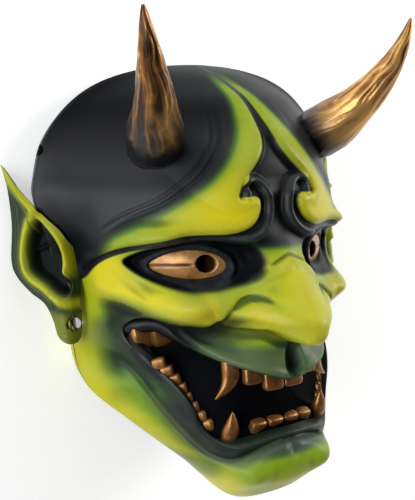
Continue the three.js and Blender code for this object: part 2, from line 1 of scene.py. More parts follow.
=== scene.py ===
import bpy
import numpy as np
from mathutils import Matrix, Vector


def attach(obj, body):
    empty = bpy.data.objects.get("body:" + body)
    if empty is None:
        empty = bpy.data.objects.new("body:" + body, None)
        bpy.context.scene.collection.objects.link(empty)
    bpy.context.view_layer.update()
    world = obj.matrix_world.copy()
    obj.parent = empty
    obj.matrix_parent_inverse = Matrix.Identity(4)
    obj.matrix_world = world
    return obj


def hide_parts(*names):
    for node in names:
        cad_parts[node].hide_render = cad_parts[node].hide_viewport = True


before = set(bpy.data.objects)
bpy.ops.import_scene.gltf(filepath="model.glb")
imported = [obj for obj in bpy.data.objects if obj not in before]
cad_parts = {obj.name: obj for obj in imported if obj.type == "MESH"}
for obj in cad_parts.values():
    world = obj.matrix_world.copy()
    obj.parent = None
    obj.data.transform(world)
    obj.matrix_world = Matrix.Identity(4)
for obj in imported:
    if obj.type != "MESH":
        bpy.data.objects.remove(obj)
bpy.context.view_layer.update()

mm = 0.001
white = (1.0, 1.0, 1.0)
otherSide = np.array([-1, 1, 1])  # turns a point of the left half into one of the right half

# The mask lies on its back on the floor, and the camera looks down on it.
# Shapes are in millimetres: X to the mask's left, Y to the crown, Z out of the face.

camera = {
    "place": (-0.26893, 0.09004, 0.44234),
    "right": (0.83707, -0.01546, 0.54688),
    "up": (0.10867, 0.98438, -0.13850),
    "lens": 61.5, "pictureSide": 36.0,  # mm, along the picture's long side
    "clip": (0.02, 20.0),
}

studio = {
    "floorSize": 6.0,
    "floorDrop": 0.0004,
    "floorColour": (0.93, 0.93, 0.925), "floorGlow": 0.45,  # the floor is a light table
    "floorRoughness": 0.9, "cloudScale": 3, "cloudTone": 0.985,  # faint clouds in its tone
    # The sky's brightness along an axis: start and end of the change, brightness before and after it.
    "sky": [("Z", 0.3, 0.75, 1.0, 0.1), ("Y", -0.5, 0.0, 0.55, 1.0)],
    # name, place, target, size, watts, colour
    "lights": [
        ("keyLight", (1.1, 0.5, 0.7), (0.0, 0.0, 0.06), 0.7, 9.5, (1.0, 0.99, 0.97)),
        ("sideLight", (-1.15, 0.1, 0.55), (0.0, 0.0, 0.05), 0.9, 9.0, (0.94, 0.97, 1.0)),
        ("crownLight", (0.0, 1.1, 0.6), (0.0, 0.05, 0.06), 0.6, 1.5, (0.92, 0.96, 1.0)),
    ],
}


# Nodes.

def feed(tree, node, inputs):
    # By a socket's name or number: an output is linked, a colour gets its alpha, a number is set as it is.
    for key, value in inputs.items():
        if isinstance(value, bpy.types.NodeSocket):
            tree.links.new(value, node.inputs[key])
        else:
            node.inputs[key].default_value = (*value, 1.0) if isinstance(value, tuple) else value


def newNode(tree, kind, place, inputs=None, **settings):
    node = tree.nodes.new(kind)
    node.location = place
    for key, value in settings.items():
        setattr(node, key, value)
    feed(tree, node, inputs or {})
    return node


def mathNode(tree, operation, place, *values, clamp=False):
    inputs = dict(enumerate(values))
    return newNode(tree, "ShaderNodeMath", place, inputs, operation=operation, use_clamp=clamp).outputs[0]


def smoothStep(tree, place, inputs):
    # The value runs smoothly from one level to another between two places, from 0 to 1 where none are given.
    return newNode(tree, "ShaderNodeMapRange", place, inputs, interpolation_type="SMOOTHSTEP").outputs["Result"]


def mixColour(tree, place, share, first, second):
    return newNode(tree, "ShaderNodeMix", place, {0: share, 6: first, 7: second}, data_type="RGBA").outputs[2]


def noiseOn(tree, place, vector, scale, detail, roughness=0.55):
    inputs = {"Vector": vector, "Scale": scale, "Detail": detail, "Roughness": roughness}
    return newNode(tree, "ShaderNodeTexNoise", place, inputs).outputs["Fac"]


def attributeOn(tree, place, name, output="Fac"):
    return newNode(tree, "ShaderNodeAttribute", place, attribute_name=name).outputs[output]


def objectPlace(tree, place):
    return newNode(tree, "ShaderNodeTexCoord", place).outputs["Object"]


def colourRamp(tree, place, value, steps):
    # Steps are pairs of place and colour; the two that a new ramp has take the first and the last.
    node = newNode(tree, "ShaderNodeValToRGB", place, {0: value})
    elements = node.color_ramp.elements
    for element, (at, colour) in zip((elements[0], elements[1]), (steps[0], steps[-1])):
        element.position, element.color = at, (*colour, 1)
    for at, colour in steps[1:-1]:
        elements.new(at).color = (*colour, 1)
    return node.outputs[0]


# Camera, lights, sky and floor.

def addObject(name, data):
    obj = bpy.data.objects.new(name, data)
    bpy.context.scene.collection.objects.link(obj)
    return obj


def addCamera(c):
    # The camera's axes are its right, its up and the cross product of the two.
    turned = np.eye(4)
    turned[:3, :3] = np.transpose([c["right"], c["up"], np.cross(c["right"], c["up"])])
    turned[:3, 3] = c["place"]
    data = bpy.data.cameras.new("photoCamera")
    data.lens, data.sensor_width = c["lens"], c["pictureSide"]
    data.clip_start, data.clip_end = c["clip"]
    obj = addObject("photoCamera", data)
    obj.matrix_world = Matrix(turned.tolist())
    bpy.context.scene.camera = obj


def addLight(name, place, target, size, watts, colour):
    # A round lamp whose -Z axis points at its target.
    data = bpy.data.lights.new(name, "AREA")
    data.shape, data.size, data.energy, data.color = "DISK", size, watts, colour
    obj = addObject(name, data)
    obj.location = place
    obj.rotation_mode = "QUATERNION"
    obj.rotation_quaternion = (Vector(target) - Vector(place)).to_track_quat("-Z", "Y")


def addSky():
    # A pale band round the horizon that darkens overhead, and towards the chin, where it would shine under
    # the mask: the product of a smooth step for each axis.
    world = bpy.data.worlds.new("paleRoom")
    world.use_nodes = True
    tree = world.node_tree
    where = newNode(tree, "ShaderNodeTexCoord", (-900, 0)).outputs["Generated"]
    axes = newNode(tree, "ShaderNodeSeparateXYZ", (-700, 0), {0: where}).outputs
    sockets = ("Value", "From Min", "From Max", "To Min", "To Max")
    steps = [smoothStep(tree, (-450, 0), dict(zip(sockets, (axes[axis], *levels))))
             for axis, *levels in studio["sky"]]
    level = mathNode(tree, "MULTIPLY", (-200, 0), *steps)
    feed(tree, tree.nodes["Background"], {"Color": white, "Strength": level})
    bpy.context.scene.world = world


def floorMaterial():
    # Nearly white, with faint clouds, and glowing a little.
    material, tree, shader = newMaterial("paleFloor", {"Roughness": studio["floorRoughness"],
                                                       "Emission Strength": studio["floorGlow"],
                                                       "Emission Color": white})
    clouds = noiseOn(tree, (-600, 0), objectPlace(tree, (-800, 0)), studio["cloudScale"], 2)
    pale = studio["floorColour"]
    dim = tuple(studio["cloudTone"] * c for c in pale)
    feed(tree, shader, {"Base Color": mixColour(tree, (-300, 0), clouds, pale, dim)})
    return material


def addFloor():
    # A square a little under the rim.
    half, drop = studio["floorSize"] / 2, studio["floorDrop"]
    mesh = bpy.data.meshes.new("floor")
    corners = [(x * half, y * half, -drop) for x, y in ((-1, -1), (1, -1), (1, 1), (-1, 1))]
    mesh.from_pydata(corners, [], [(0, 1, 2, 3)])
    mesh.materials.append(floorMaterial())
    floor = addObject("floor", mesh)


# Numbers along a table, soft steps and lines on the face.

def fromTable(pairs, place):
    # A cubic from pair to pair whose slopes are the harmonic mean of its neighbours', so it never overshoots.
    x, y = np.array(pairs, float).T
    slope = np.diff(y) / np.diff(x)
    both = slope[:-1] * slope[1:]
    mean = np.where(both > 0, 2 * both / np.where(both > 0, slope[:-1] + slope[1:], 1), 0)
    tangent = np.concatenate([slope[:1], mean, slope[-1:]])
    at = np.clip(place, x[0], x[-1])
    i = np.clip(np.searchsorted(x, at, side="right") - 1, 0, len(x) - 2)
    span = x[i + 1] - x[i]
    t = (at - x[i]) / span
    return ((1 + 2 * t) * (1 - t) ** 2 * y[i] + t * (1 - t) ** 2 * span * tangent[i]
            + t * t * (3 - 2 * t) * y[i + 1] + t * t * (t - 1) * span * tangent[i + 1])


def ease(v):
    # 0 to 1 along 3t^2 - 2t^3.
    t = np.clip(v, 0, 1)
    return t * t * (3 - 2 * t)


def fade(value, start, width):
    # Grows from 0 at the start to 1 a width further on; a negative width looks the other way.
    return ease((value - start) / width)


def bell(distance, width):
    # exp(-(distance / width)^2).
    return np.exp(-(distance / width) ** 2)


def egg(x, y, middle, size, power):
    # exp(-(squared distance, in half sizes) ^ power): flatter on top than a bell and steeper at the side.
    return np.exp(-(((x - middle[0]) / size[0]) ** 2 + ((y - middle[1]) / size[1]) ** 2) ** power)


def cup(distance, width):
    # 1 - (distance / width)^2, down to 0 at the width.
    return 1 - np.minimum(np.abs(distance) / width, 1) ** 2


def fadeEnds(along, start, end):
    # Grows over the first share of a line's length and goes over the last one.
    return ease(along / start) * ease((1 - along) / end)


def unit(v):
    # Vectors over their lengths.
    return v / np.maximum(np.linalg.norm(v, axis=-1, keepdims=True), 1e-9)


def turns(count):
    # Angles of equal steps once round.
    return np.linspace(0, 2 * np.pi, count, endpoint=False)


def smoothLine(points, closed=False, steps=6):
    # A line through the points: each span is the cubic that leaves along its neighbours' chord.
    p = np.array(points, float)
    ring = np.vstack([p[-1:], p, p[:2]]) if closed else np.vstack([2 * p[0] - p[1], p, 2 * p[-1] - p[-2]])
    spans = len(ring) - 3
    t = np.linspace(0, 1, steps, endpoint=False)[None, :, None]
    a, b, c, d = (ring[k:k + spans, None] for k in range(4))
    line = 0.5 * (2 * b + (c - a) * t + (2 * a - 5 * b + 4 * c - d) * t ** 2
                  + (3 * b - a - 3 * c + d) * t ** 3)
    return np.vstack([line.reshape(-1, p.shape[1]), p[:1] if closed else p[-1:]])


def alongLine(points, count):
    # Points at equal lengths along a smoothed line.
    fine = smoothLine(points, steps=12)
    length = np.concatenate([[0], np.cumsum(np.linalg.norm(np.diff(fine, axis=0), axis=1))])
    at = np.linspace(0, length[-1], count)
    return np.stack([np.interp(at, length, fine[:, i]) for i in range(3)], -1)


def nearest(x, y, line):
    # Distance to a line, positive on the left hand of it, and the share of its length at the nearest place.
    steps = np.diff(line, axis=0)
    lengths = np.hypot(*steps.T)
    starts = np.concatenate([[0], np.cumsum(lengths)])
    best = np.full(x.shape, 1e9)
    side = np.ones(x.shape)
    along = np.zeros(x.shape)
    for (px, py), (dx, dy), length, start in zip(line[:-1], steps, lengths, starts):
        t = np.clip(((x - px) * dx + (y - py) * dy) / length ** 2, 0, 1)
        away = (x - px - t * dx) ** 2 + (y - py - t * dy) ** 2
        closer = away < best
        best = np.where(closer, away, best)
        side = np.where(closer, np.where(dx * (y - py) - dy * (x - px) < 0, -1.0, 1.0), side)
        along = np.where(closer, (start + t * length) / starts[-1], along)
    return np.sqrt(best) * side, along


def depthInside(x, y, loop):
    # Distance to a closed line, positive inside it, which an odd count of crossings tells.
    inside = np.zeros(x.shape, bool)
    for (ax, ay), (bx, by) in zip(loop[:-1], loop[1:]):
        if ay != by:
            crossing = (ay > y) != (by > y)
            inside ^= crossing & (x < (bx - ax) * (y - ay) / (by - ay) + ax)
    distance, _ = nearest(x, y, loop)
    return np.where(inside, 1, -1) * np.abs(distance)


# The face.

face = {
    "top": 109, "bottom": -131, "wall": 4.6,
    "halfWidth": [(-131, 37), (-118, 38.5), (-108, 42.2), (-95, 53), (-83, 64.5), (-65, 80.4), (-56, 83.4),
                  (-48, 84), (-31, 84.5), (-12, 87), (8, 92), (30, 98.5), (43, 100.5), (53, 98.8), (66, 96),
                  (75, 92.5), (83, 89), (92, 86), (100, 84), (109, 82)],
    "midDepth": [(-131, 78), (-127, 86), (-120, 97), (-114, 102.5), (-108, 106), (-95, 108.5),
                 (-80, 108), (-65, 109), (-52, 109), (-38, 107), (-21, 104), (0, 101.5),
                 (25, 99.5), (41, 98), (55, 94), (69, 87), (80, 77), (90, 65), (98, 49), (104, 35),
                 (109, 19)],
    "sideDepth": [(-131, 76), (-125, 76), (-115, 71), (-100, 60), (-83, 45), (-65, 31), (-48, 22),
                 (-31, 19), (20, 18), (50, 14.5), (80, 13), (109, 13)],
    "rimHeight": [(-131, 47), (-122, 37), (-110, 22), (-98, 10), (-87, 1.6), (-81, 0), (109, 0)],
    "fullness": [(-131, 0.4), (-108, 0.42), (-97, 0.6), (-84, 0.85), (-66, 1.12), (-50, 1.15), (-36, 0.95),
                 (-20, 0.84), (-6, 0.95), (8, 1.0), (28, 1.1), (50, 1.2), (75, 1.28), (109, 1.4)],
    "columns": 440, "rows": 202, "skirtRows": 8, "hollowRows": 14, "rimRows": 5,
    "reliefCells": 4,
    "spokeSteps": 30, "evenSpokes": 0.45, "rowCrowding": 1.2,  # how the spokes and the rows crowd
    "tuck": 0.36, "tuckPower": 1.6,  # how far the side wall leans in towards the rim
    "softening": 6, "clearRows": 7, "clearance": 1.5,  # cells and mm that keep the hollow inside the front
}

# Lines on the left half of the face, X and Y. The third number of a mouth point is the angle of its spoke.
lines = {
    "mouthEdge": [(0, -56.5, 0), (11, -52.6, 11), (22, -48.6, 22), (31, -45.4, 32), (39, -41, 41),
                  (46, -35, 50), (51.5, -28, 58), (57, -23.6, 66), (63, -25.2, 74), (65.6, -32, 84),
                  (62, -41, 95), (54.4, -50, 108), (48.9, -58.4, 118), (43.8, -68.9, 129), (40.5, -78.6, 138),
                  (35.5, -84.2, 146), (30.5, -86.2, 153), (25, -85.4, 160), (12.5, -82.3, 171),
                  (0, -81.3, 180)],
    "browLower": [(84, -4), (81, 4), (77, 9.5), (71, 13.8), (63, 17.6), (55.5, 20), (48, 21.4), (39, 21.8),
                  (31, 21.8), (24, 22.6), (18.4, 24.6), (14.4, 28.1), (12, 32.6), (11.3, 36.6), (12.2, 40),
                  (15, 41.4)],
    "browInner": [(22.4, 41.2), (21.2, 44.8), (17.8, 49.4), (13.8, 53.6), (8.9, 58.8), (5.4, 64), (3.6, 69.5),
                  (2.6, 76), (1.6, 84), (1, 93), (0.6, 102)],
    "bandTop": [(84, 6), (79, 14), (71, 21), (63, 26.5), (52, 33.5), (42, 41), (33, 48.5), (25.5, 57),
                (18.5, 67), (13, 77), (9, 86), (6, 95), (4, 104)],
    "socket": [(69, 6.6), (64, 12.6), (56, 16.8), (47, 18.8), (35, 19.4), (24, 18.8), (15.5, 15.6), (12, 9),
               (14.6, 2.6), (20, -2), (28, -5), (38, -7), (50, -6.4), (61, -1.4)],
    "lidRim": [(57.5, 4.6), (53.6, 9.2), (48, 12), (41, 13), (34, 12), (28.5, 8.8), (26.6, 4.6), (29.5, 0.6),
               (36, -1.6), (44, -1.8), (52, 0.4)],
    "cheekEdge": [(81, 1), (79.5, -5), (75.5, -10.6), (67, -14.6), (60, -18.8), (52, -22.4), (45, -24),
                  (39, -24.2), (34.8, -21.6), (32.6, -15.5)],
    "wingCrease": [(35.5, -27), (34, -22), (31.2, -16.2), (26.7, -11.6), (22.4, -9.8), (18.6, -10.2),
                   (15.4, -12.4), (13.4, -15.8)],
    "lipOuter": [(69, -36), (67, -46), (62, -56), (57, -66), (51.5, -76), (45, -86), (38.5, -94), (32, -96.6),
                 (25, -94.2), (17, -90.6), (8, -88), (0, -87.4)],
    "capGroove": [(83, 15), (74, 25), (66, 31), (55, 37.5), (44.5, 46), (36, 54.6), (29.2, 64.6), (24.4, 74),
                  (21.4, 83), (20, 92)],
    "curlRidge": [(19.3, 42.5), (18.6, 47), (14.6, 49), (10, 47), (7, 42), (5.9, 36.5), (6.5, 30.6),
                  (9.3, 25.4), (14.5, 21.3), (22.5, 18.9), (33, 17.8)],
    "noseFold": [(19, 2.4), (15.8, 3.8), (13, 4.8), (10, 6.2), (6.6, 7.9), (2, 9.9), (0, 10.4)],
    "noseUnder": [(37, -20), (34, -23.6), (30.5, -25.8), (26, -26.6), (20, -26.6), (16.4, -26.2), (13, -27.6),
                  (9, -30.2), (4.4, -32.8), (0, -33.8)],
}
closedLines = ("socket", "lidRim")
drawn = {name: smoothLine([p[:2] for p in points], name in closedLines) for name, points in lines.items()}
capCorners = np.array([(0, 115), (125, 115), (125, -6), (86, -6)], float)
drawn["capSide"] = np.vstack([drawn["browLower"], drawn["browInner"], capCorners, drawn["browLower"][:1]])

# Soft rises, dents where negative: height, middle and half width across, middle and half width up the face.
bumps = {
    "browPad": (9, 60, 12, 20, 5.5), "frown": (-4.5, 0, 12, 33, 17), "cheekBone": (15, 51, 14, -14, 8.5),
    "jawDent": (-3, 74, 7, -46, 12.6), "muzzle": (3.5, 20, 20, -46, 8), "chinLobe": (8, 26, 10, -104, 10),
    "chinCleft": (-2.2, 0, 2.6, -91, 5), "hornCollar": (1.6, 52, 19, 67, 19),
}
# Along drawn lines: line, depth, half width, distance to its left, shares over which it fades in and out.
grooves = [
    ("wingCrease", 3.4, 2.0, 0, 0.1, 0.35), ("lipOuter", 3.4, 2.4, 0, 0.25, 0.001),
    ("capGroove", 0.9, 1.0, 0, 0.2, 0.25), ("capGroove", 0.7, 0.9, -3, 0.2, 0.25),
]
# Where a form or a colour is: it fades in from a place, downwards or inwards where the width is negative,
# or lies around one like a bell.
zones = {
    "band": [("fromX", 88, -10), ("fromY", 102, -45)],
    "foreheadValley": [("fromY", 40, 10), ("fromY", 100, -40)],
    "greenBand": [("fromY", 110, -18), ("fromX", 80, -7)],
    "yellowBand": [("fromY", 101, -24), ("fromX", 80, -7)],
    "bandHighlight": [("aroundX", 30, 25), ("aroundY", 33, 20)], "bridge": [("fromY", 17, -5)],
    "underCheek": [("fromX", 77, -7)], "sideLip": [("fromX", 34, 12), ("fromY", -20, -10)],
    "lowerLip": [("fromY", -62, -10)], "philtrum": [("aroundX", 0, 6.5), ("aroundY", -49, 9)],
    "upperLip": [("fromY", -34, -5), ("fromY", -64, 4), ("fromX", 50, -10)],
    "chinTop": [("aroundX", 0, 34), ("fromY", -98, 7), ("fromY", -84, -4)], "lipHighlight": [("fromY", -60, -12)],
    "cheekBand": [("fromY", -27, 4), ("fromX", 34, 8)],
    "noseTop": [("aroundX", 0, 18), ("fromY", -36, 5), ("fromY", 15, -9)],
    "wings": [("aroundX", 25, 12.1), ("aroundY", -18, 9.9)], "jaw": [("fromY", -4, -18)],
    "jawGap": [("aroundY", -38, 20)], "temple": [("aroundY", 1, 10), ("fromX", 62, 12), ("fromX", 80, -6)],
    "jawEdge": [("fromY", -92, -8), ("fromX", 32, 6)], "chinLow": [("aroundX", 0, 30), ("aroundY", -112, 7)],
    "creviceEnd": [("fromX", 77, -9)], "underEar": [("fromX", 74, 5), ("aroundY", 9, 19)],
    "crown": [("fromY", 58, 30)],
}


def within(name, x, y):
    # Product of the zone's fades and bells.
    share = 1.0
    for kind, place, width in zones[name]:
        value = x if kind[-1] == "X" else y
        share = share * (fade(value, place, width) if kind[:4] == "from" else bell(value - place, width))
    return share


def halfWidth(y):
    # The outline: the table, rounded off at the crown and the chin by (1 - share^8)^(1/2).
    middle, half = (face["top"] + face["bottom"]) / 2, (face["top"] - face["bottom"]) / 2
    rounded = np.sqrt(np.maximum(1 - np.clip(np.abs(y - middle) / half, 0, 1) ** 8, 0))
    return fromTable(face["halfWidth"], y) * rounded


def dome(x, y):
    # The plain dome: midDepth falls to sideDepth with (1 - share of the half width squared) to the fullness.
    share = np.clip(np.abs(x) / np.maximum(halfWidth(y), 1e-3), 0, 1)
    low, high = fromTable(face["sideDepth"], y), fromTable(face["midDepth"], y)
    return low + (high - low) * (1 - share * share) ** fromTable(face["fullness"], y)


def bumpRise(x, y):
    # Height times a bell across and a bell up.
    return sum(height * bell(x - midX, wideX) * bell(y - midY, wideY)
               for height, midX, wideX, midY, wideY in bumps.values())


def grooveRise(x, y):
    # Depth times a bell of the distance from the line, faded at the line's ends.
    rise = 0
    for name, depth, width, aside, fadeIn, fadeOut in grooves:
        distance, share = nearest(x, y, drawn[name])
        rise = rise - depth * bell(distance - aside, width) * fadeEnds(share, fadeIn, fadeOut)
    return rise


nose = {
    "height": [(-40, 17), (-34, 20), (-30, 25), (-26, 27.6), (-21.5, 27.8), (-15, 24), (-7, 18), (0, 12.4),
               (7, 7), (13, 3.6), (19, 1.2), (26, 0), (40, 0)],
    "halfWidth": [(-44, 15), (-34, 14), (-28, 15.5), (-20, 17.5), (-10, 18.5), (0, 17.5), (10, 13), (20, 9)],
    "fullness": 2.2, "wingPlace": (23, -18.6), "wingSize": (13.5, 10), "wingHeight": 7.5, "wingFullness": 1.5,
    "underEdge": (1.5, -3.0),  # where the under edge cuts the nose off, and how softly
    "fold": 1.2, "foldWidth": 0.9, "foldShare": 0.3, "rollPlace": 3, "rollWidth": 2.5, "rollEnd": 20,
}


def noseRise(x, y):
    # A wedge from the bridge to a round tip and an egg for each nostril wing, cut off along the under edge,
    # then a fold across the bridge with a roll above it.
    wedge = fromTable(nose["height"], y) * np.exp(-(x / fromTable(nose["halfWidth"], y)) ** nose["fullness"])
    wing = nose["wingHeight"] * egg(x, y, nose["wingPlace"], nose["wingSize"], nose["wingFullness"])
    under, _ = nearest(x, y, drawn["noseUnder"])
    fold, share = nearest(x, y, drawn["noseFold"])
    dent = bell(fold, nose["foldWidth"]) * ease(share / nose["foldShare"])
    roll = bell(fold - nose["rollPlace"], nose["rollWidth"]) * (x < nose["rollEnd"])
    return (wedge + wing) * fade(under, *nose["underEdge"]) + nose["fold"] * (roll - dent)


brow = {"height": 4.2, "edge": 4.5, "reach": 20, "valley": 2.6, "valleyEdge": (1.0, -4)}


def browRise(x, y):
    # The yellow band stands up from its lower edge, 1 - (1 - share)^2, and sinks away above it.
    up = depthInside(x, y, drawn["capSide"])
    stand = 1 - (1 - np.clip(up / brow["edge"], 0, 1)) ** 2
    band = brow["height"] * stand * bell(np.maximum(up, 0), brow["reach"]) * within("band", x, y)
    return band - brow["valley"] * fade(up, *brow["valleyEdge"]) * within("foreheadValley", x, y)


curl = {"height": 4.4, "width": 2.4, "swell": 1.2, "swellShare": 0.3, "ends": (0.1, 0.25),
        "ballPlace": (19.2, 42.6), "ballRadius": 3.7, "ballHeight": 3.6}


def curlRise(x, y):
    # A round roll between the brows that curls up into a small ball beside each lobe of the band.
    ridge, share = nearest(x, y, drawn["curlRidge"])
    width = curl["width"] + curl["swell"] * ease(share / curl["swellShare"])
    ballX, ballY = curl["ballPlace"]
    ball = curl["ballHeight"] * cup(np.hypot(x - ballX, y - ballY), curl["ballRadius"])
    return curl["height"] * cup(ridge, width) * fadeEnds(share, *curl["ends"]) + ball


lids = {
    "depth": 7.5, "outerDepth": 2.5, "outerPart": (12, 50), "socketEdge": (-1.2, 6),
    "rims": [(3.2, -1.8, 2.0), (-0.9, -5.2, 1.2)],  # height, distance inside the lid's line, half width
    "drop": 10, "dropEdge": (-0.5, 2),
}


def eyeRise(x, y):
    # A sunk socket with a raised lid round the opening, and a drop inside it that the eyeball fills.
    socket = depthInside(x, y, drawn["socket"])
    lid = depthInside(x, y, drawn["lidRim"])
    start, over = lids["outerPart"]
    depth = lids["depth"] + lids["outerDepth"] * np.clip((x - start) / over, 0, 1)
    rims = sum(height * bell(lid - place, width) for height, place, width in lids["rims"])
    return rims - depth * fade(socket, *lids["socketEdge"]) - lids["drop"] * fade(lid, *lids["dropEdge"])


cheek = {"hollow": 8, "edge": (-1.5, 6), "flat": 9, "reach": 12, "ends": (0.12, 0.1)}


def cheekRise(x, y):
    # A hollow under the drawn edge, level at first and then rising again along a bell.
    under, share = nearest(x, y, drawn["cheekEdge"])
    hollow = fade(under, *cheek["edge"]) * bell(np.maximum(under - cheek["flat"], 0), cheek["reach"])
    return -cheek["hollow"] * hollow * fadeEnds(share, *cheek["ends"])


lips = {"swell": 2, "swellPlace": 3, "swellWidth": 2.2, "roll": 4, "rollWidth": 2,
        "channel": 6, "channelPlace": (0, -45.5), "channelSize": (6.2, 10.5), "channelPower": 0.8}


def mouthRise(x, y):
    # The lips swell beside the opening and roll in at its edge; an oval channel runs down to the upper one,
    # its depth (1 - squared distance in half sizes) to a power.
    edge = np.abs(nearest(x, y, drawn["mouthEdge"])[0])
    (midX, midY), (wideX, wideY) = lips["channelPlace"], lips["channelSize"]
    inside = np.clip(1 - ((x - midX) / wideX) ** 2 - ((y - midY) / wideY) ** 2, 0, 1)
    return (lips["swell"] * bell(edge - lips["swellPlace"], lips["swellWidth"])
            - lips["roll"] * fade(edge, lips["rollWidth"], -lips["rollWidth"])
            - lips["channel"] * inside ** lips["channelPower"])


chin = {"height": 3.5, "place": (0, -104), "size": (28, 12), "fullness": 1.3}


def chinRise(x, y):
    # An egg across the chin.
    return chin["height"] * egg(x, y, chin["place"], chin["size"], chin["fullness"])


def faceHeight(x, y):
    # The dome with every form added to it.
    forms = (dome, noseRise, browRise, curlRise, eyeRise, cheekRise, mouthRise, chinRise, bumpRise,
             grooveRise)
    return sum(form(x, y) for form in forms)


def wholeLoop(half):
    # Columns of the left half, top to chin, followed by the mirrored ones, chin to top.
    return np.concatenate([half, half[:, -2:0:-1] * otherSide], 1)


def normals(points):
    # Cross product of the differences along the columns and down the rows, which wrap round.
    across = np.roll(points, -1, 1) - np.roll(points, 1, 1)
    return unit(np.cross(across, np.gradient(points, axis=0)))


def padded(v, radius):
    # Rows repeated past both ends.
    return np.concatenate([np.repeat(v[:1], radius, 0), v, np.repeat(v[-1:], radius, 0)])


def blurred(v, radius):
    # Running mean along the columns, which wrap, and down the rows, twice over.
    width = 2 * radius + 1
    for _ in range(2):
        wide = np.concatenate([v[:, -radius:], v, v[:, :radius]], 1)
        total = np.cumsum(np.concatenate([np.zeros_like(wide[:, :1]), wide], 1), 1)
        tall = padded((total[:, width:] - total[:, :-width]) / width, radius)
        total = np.cumsum(np.concatenate([np.zeros_like(tall[:1]), tall]), 0)
        v = (total[width:] - total[:-width]) / width
    return v


def lowest(values, radius):
    # Running minimum along the columns, which wrap, and down the rows.
    width = 2 * radius + 1
    across = np.min([np.roll(values, step - radius, 1) for step in range(width)], 0)
    tall = padded(across, radius)
    return np.min([tall[step:step + len(values)] for step in range(width)], 0)


def faceGrid():
    # Spokes run from the edge of the mouth (s = 0) to the outline (s = 1), u going down one half of the face;
    # below the outline the side wall goes down to the rim and tucks in along a power of its depth.
    steps = face["spokeSteps"]
    spokes = np.array(lines["mouthEdge"], float)
    edge = smoothLine(spokes[:, :2], steps=steps)
    angle = np.interp(np.arange(len(edge)) / steps, np.arange(len(spokes)), spokes[:, 2])
    u = np.linspace(0, 1, face["columns"] // 2 + 1)
    turn = 180 * (face["evenSpokes"] * u + (1 - face["evenSpokes"]) * u ** 2)
    mouthX, mouthY = np.interp(turn, angle, edge[:, 0]), np.interp(turn, angle, edge[:, 1])
    middle, half = (face["top"] + face["bottom"]) / 2, (face["top"] - face["bottom"]) / 2
    outY = middle + half * np.cos(np.radians(turn))
    outX = halfWidth(outY)
    s = 1 - (1 - np.linspace(0, 1, face["rows"])[:, None]) ** face["rowCrowding"]
    x, y = mouthX + (outX - mouthX) * s, mouthY + (outY - mouthY) * s
    x[:, 0] = x[:, -1] = 0
    low, rim = fromTable(face["sideDepth"], outY), fromTable(face["rimHeight"], outY)
    z = faceHeight(x, y)
    z[-1] = low
    k = np.linspace(0, 1, face["skirtRows"] + 1)[1:, None]
    tuck = face["tuck"] * (low - rim) * k ** face["tuckPower"] / np.hypot(outX, outY - middle)
    skirt = np.stack([outX * (1 - tuck), outY - tuck * (outY - middle), low + (rim - low) * k], -1)
    return np.concatenate([np.stack([x, y, z], -1), skirt])


def hollowGrid(outer):
    # The back of the shell: the front without its fine carving, moved in by one wall and kept inside it.
    soft = blurred(outer, face["softening"])
    soft[..., 2] = np.minimum(soft[..., 2], outer[..., 2])
    rows = np.linspace(face["rows"] - face["rimRows"], 0, face["hollowRows"]).astype(int)
    inner = soft[rows] - normals(soft)[rows] * face["wall"]
    clear = lowest(outer[..., 2], face["clearRows"])[rows] - face["clearance"]
    inner[..., 2] = np.minimum(inner[..., 2], clear)
    toward = np.array([0, (face["top"] + face["bottom"]) / 2, 0]) - outer[-1:]
    toward[..., 2] = 0
    return np.concatenate([outer[-1:] + unit(toward) * face["wall"], inner])


shadeDish = {"row": 11, "inset": 0.6, "middle": (0, -64, 0), "depth": 50, "steepness": 6,
          "rings": 16, "smallest": 0.01, "backSize": 1.03, "thickness": 2.2, "everyColumn": 4, "shade": 0.85}


def mouthShadeDish(outer):
    # A deep dish hung behind the lips, its depth a power of the share outwards, and a second one under it.
    # The dishes are dark resin without gloss: painted shade inside the mouth.
    soft = blurred(outer, face["softening"])
    edge = soft[shadeDish["row"]] - normals(soft)[shadeDish["row"]] * face["wall"] * shadeDish["inset"]
    middle = np.array(shadeDish["middle"])
    k = np.linspace(1, shadeDish["smallest"], shadeDish["rings"])[:, None, None]
    dish = middle + (edge - middle) * k
    dish[..., 2] = shadeDish["depth"] + (edge[..., 2] - shadeDish["depth"]) * k[..., 0] ** shadeDish["steepness"]
    under = middle + (edge - middle) * k[::-1] * shadeDish["backSize"]
    under[..., 2] = dish[::-1, :, 2] - shadeDish["thickness"]
    return np.concatenate([dish, under])[:, ::shadeDish["everyColumn"]]


# Meshes.

def gridQuads(rows, columns, wrapRows):
    # The four corners of each cell; the columns wrap, and the rows too where asked.
    index = np.arange(rows * columns).reshape(rows, columns)
    index = np.concatenate([index, index[:, :1]], 1)
    if wrapRows:
        index = np.concatenate([index, index[:1]])
    return np.stack([index[:-1, :-1], index[1:, :-1], index[1:, 1:], index[:-1, 1:]], -1).reshape(-1, 4)


def meshFrom(name, grids, wrapRows=False, **attributes):
    # One mesh from grids of points whose columns wrap; where the rows don't, both ends close on their middle.
    points, faces, start = [], [], 0
    for grid in grids:
        rows, columns = grid.shape[:2]
        points.append(grid.reshape(-1, 3))
        faces += (gridQuads(rows, columns, wrapRows) + start).tolist()
        tip, ends = start + rows * columns, () if wrapRows else (0, rows - 1)
        for row in ends:
            a = start + row * columns + np.arange(columns)
            b, end = np.roll(a, -1), np.full(columns, tip)
            faces += np.stack([a, b, end] if row == 0 else [b, a, end], 1).tolist()
            points.append(grid[row].mean(0)[None])
            tip += 1
        start = tip
    mesh = bpy.data.meshes.new(name)
    mesh.from_pydata((np.concatenate(points) * mm).tolist(), [], faces)
    mesh.polygons.foreach_set("use_smooth", np.ones(len(faces), bool))
    for key, values in attributes.items():
        addAttribute(mesh, key, values)
    mesh.update()
    return mesh


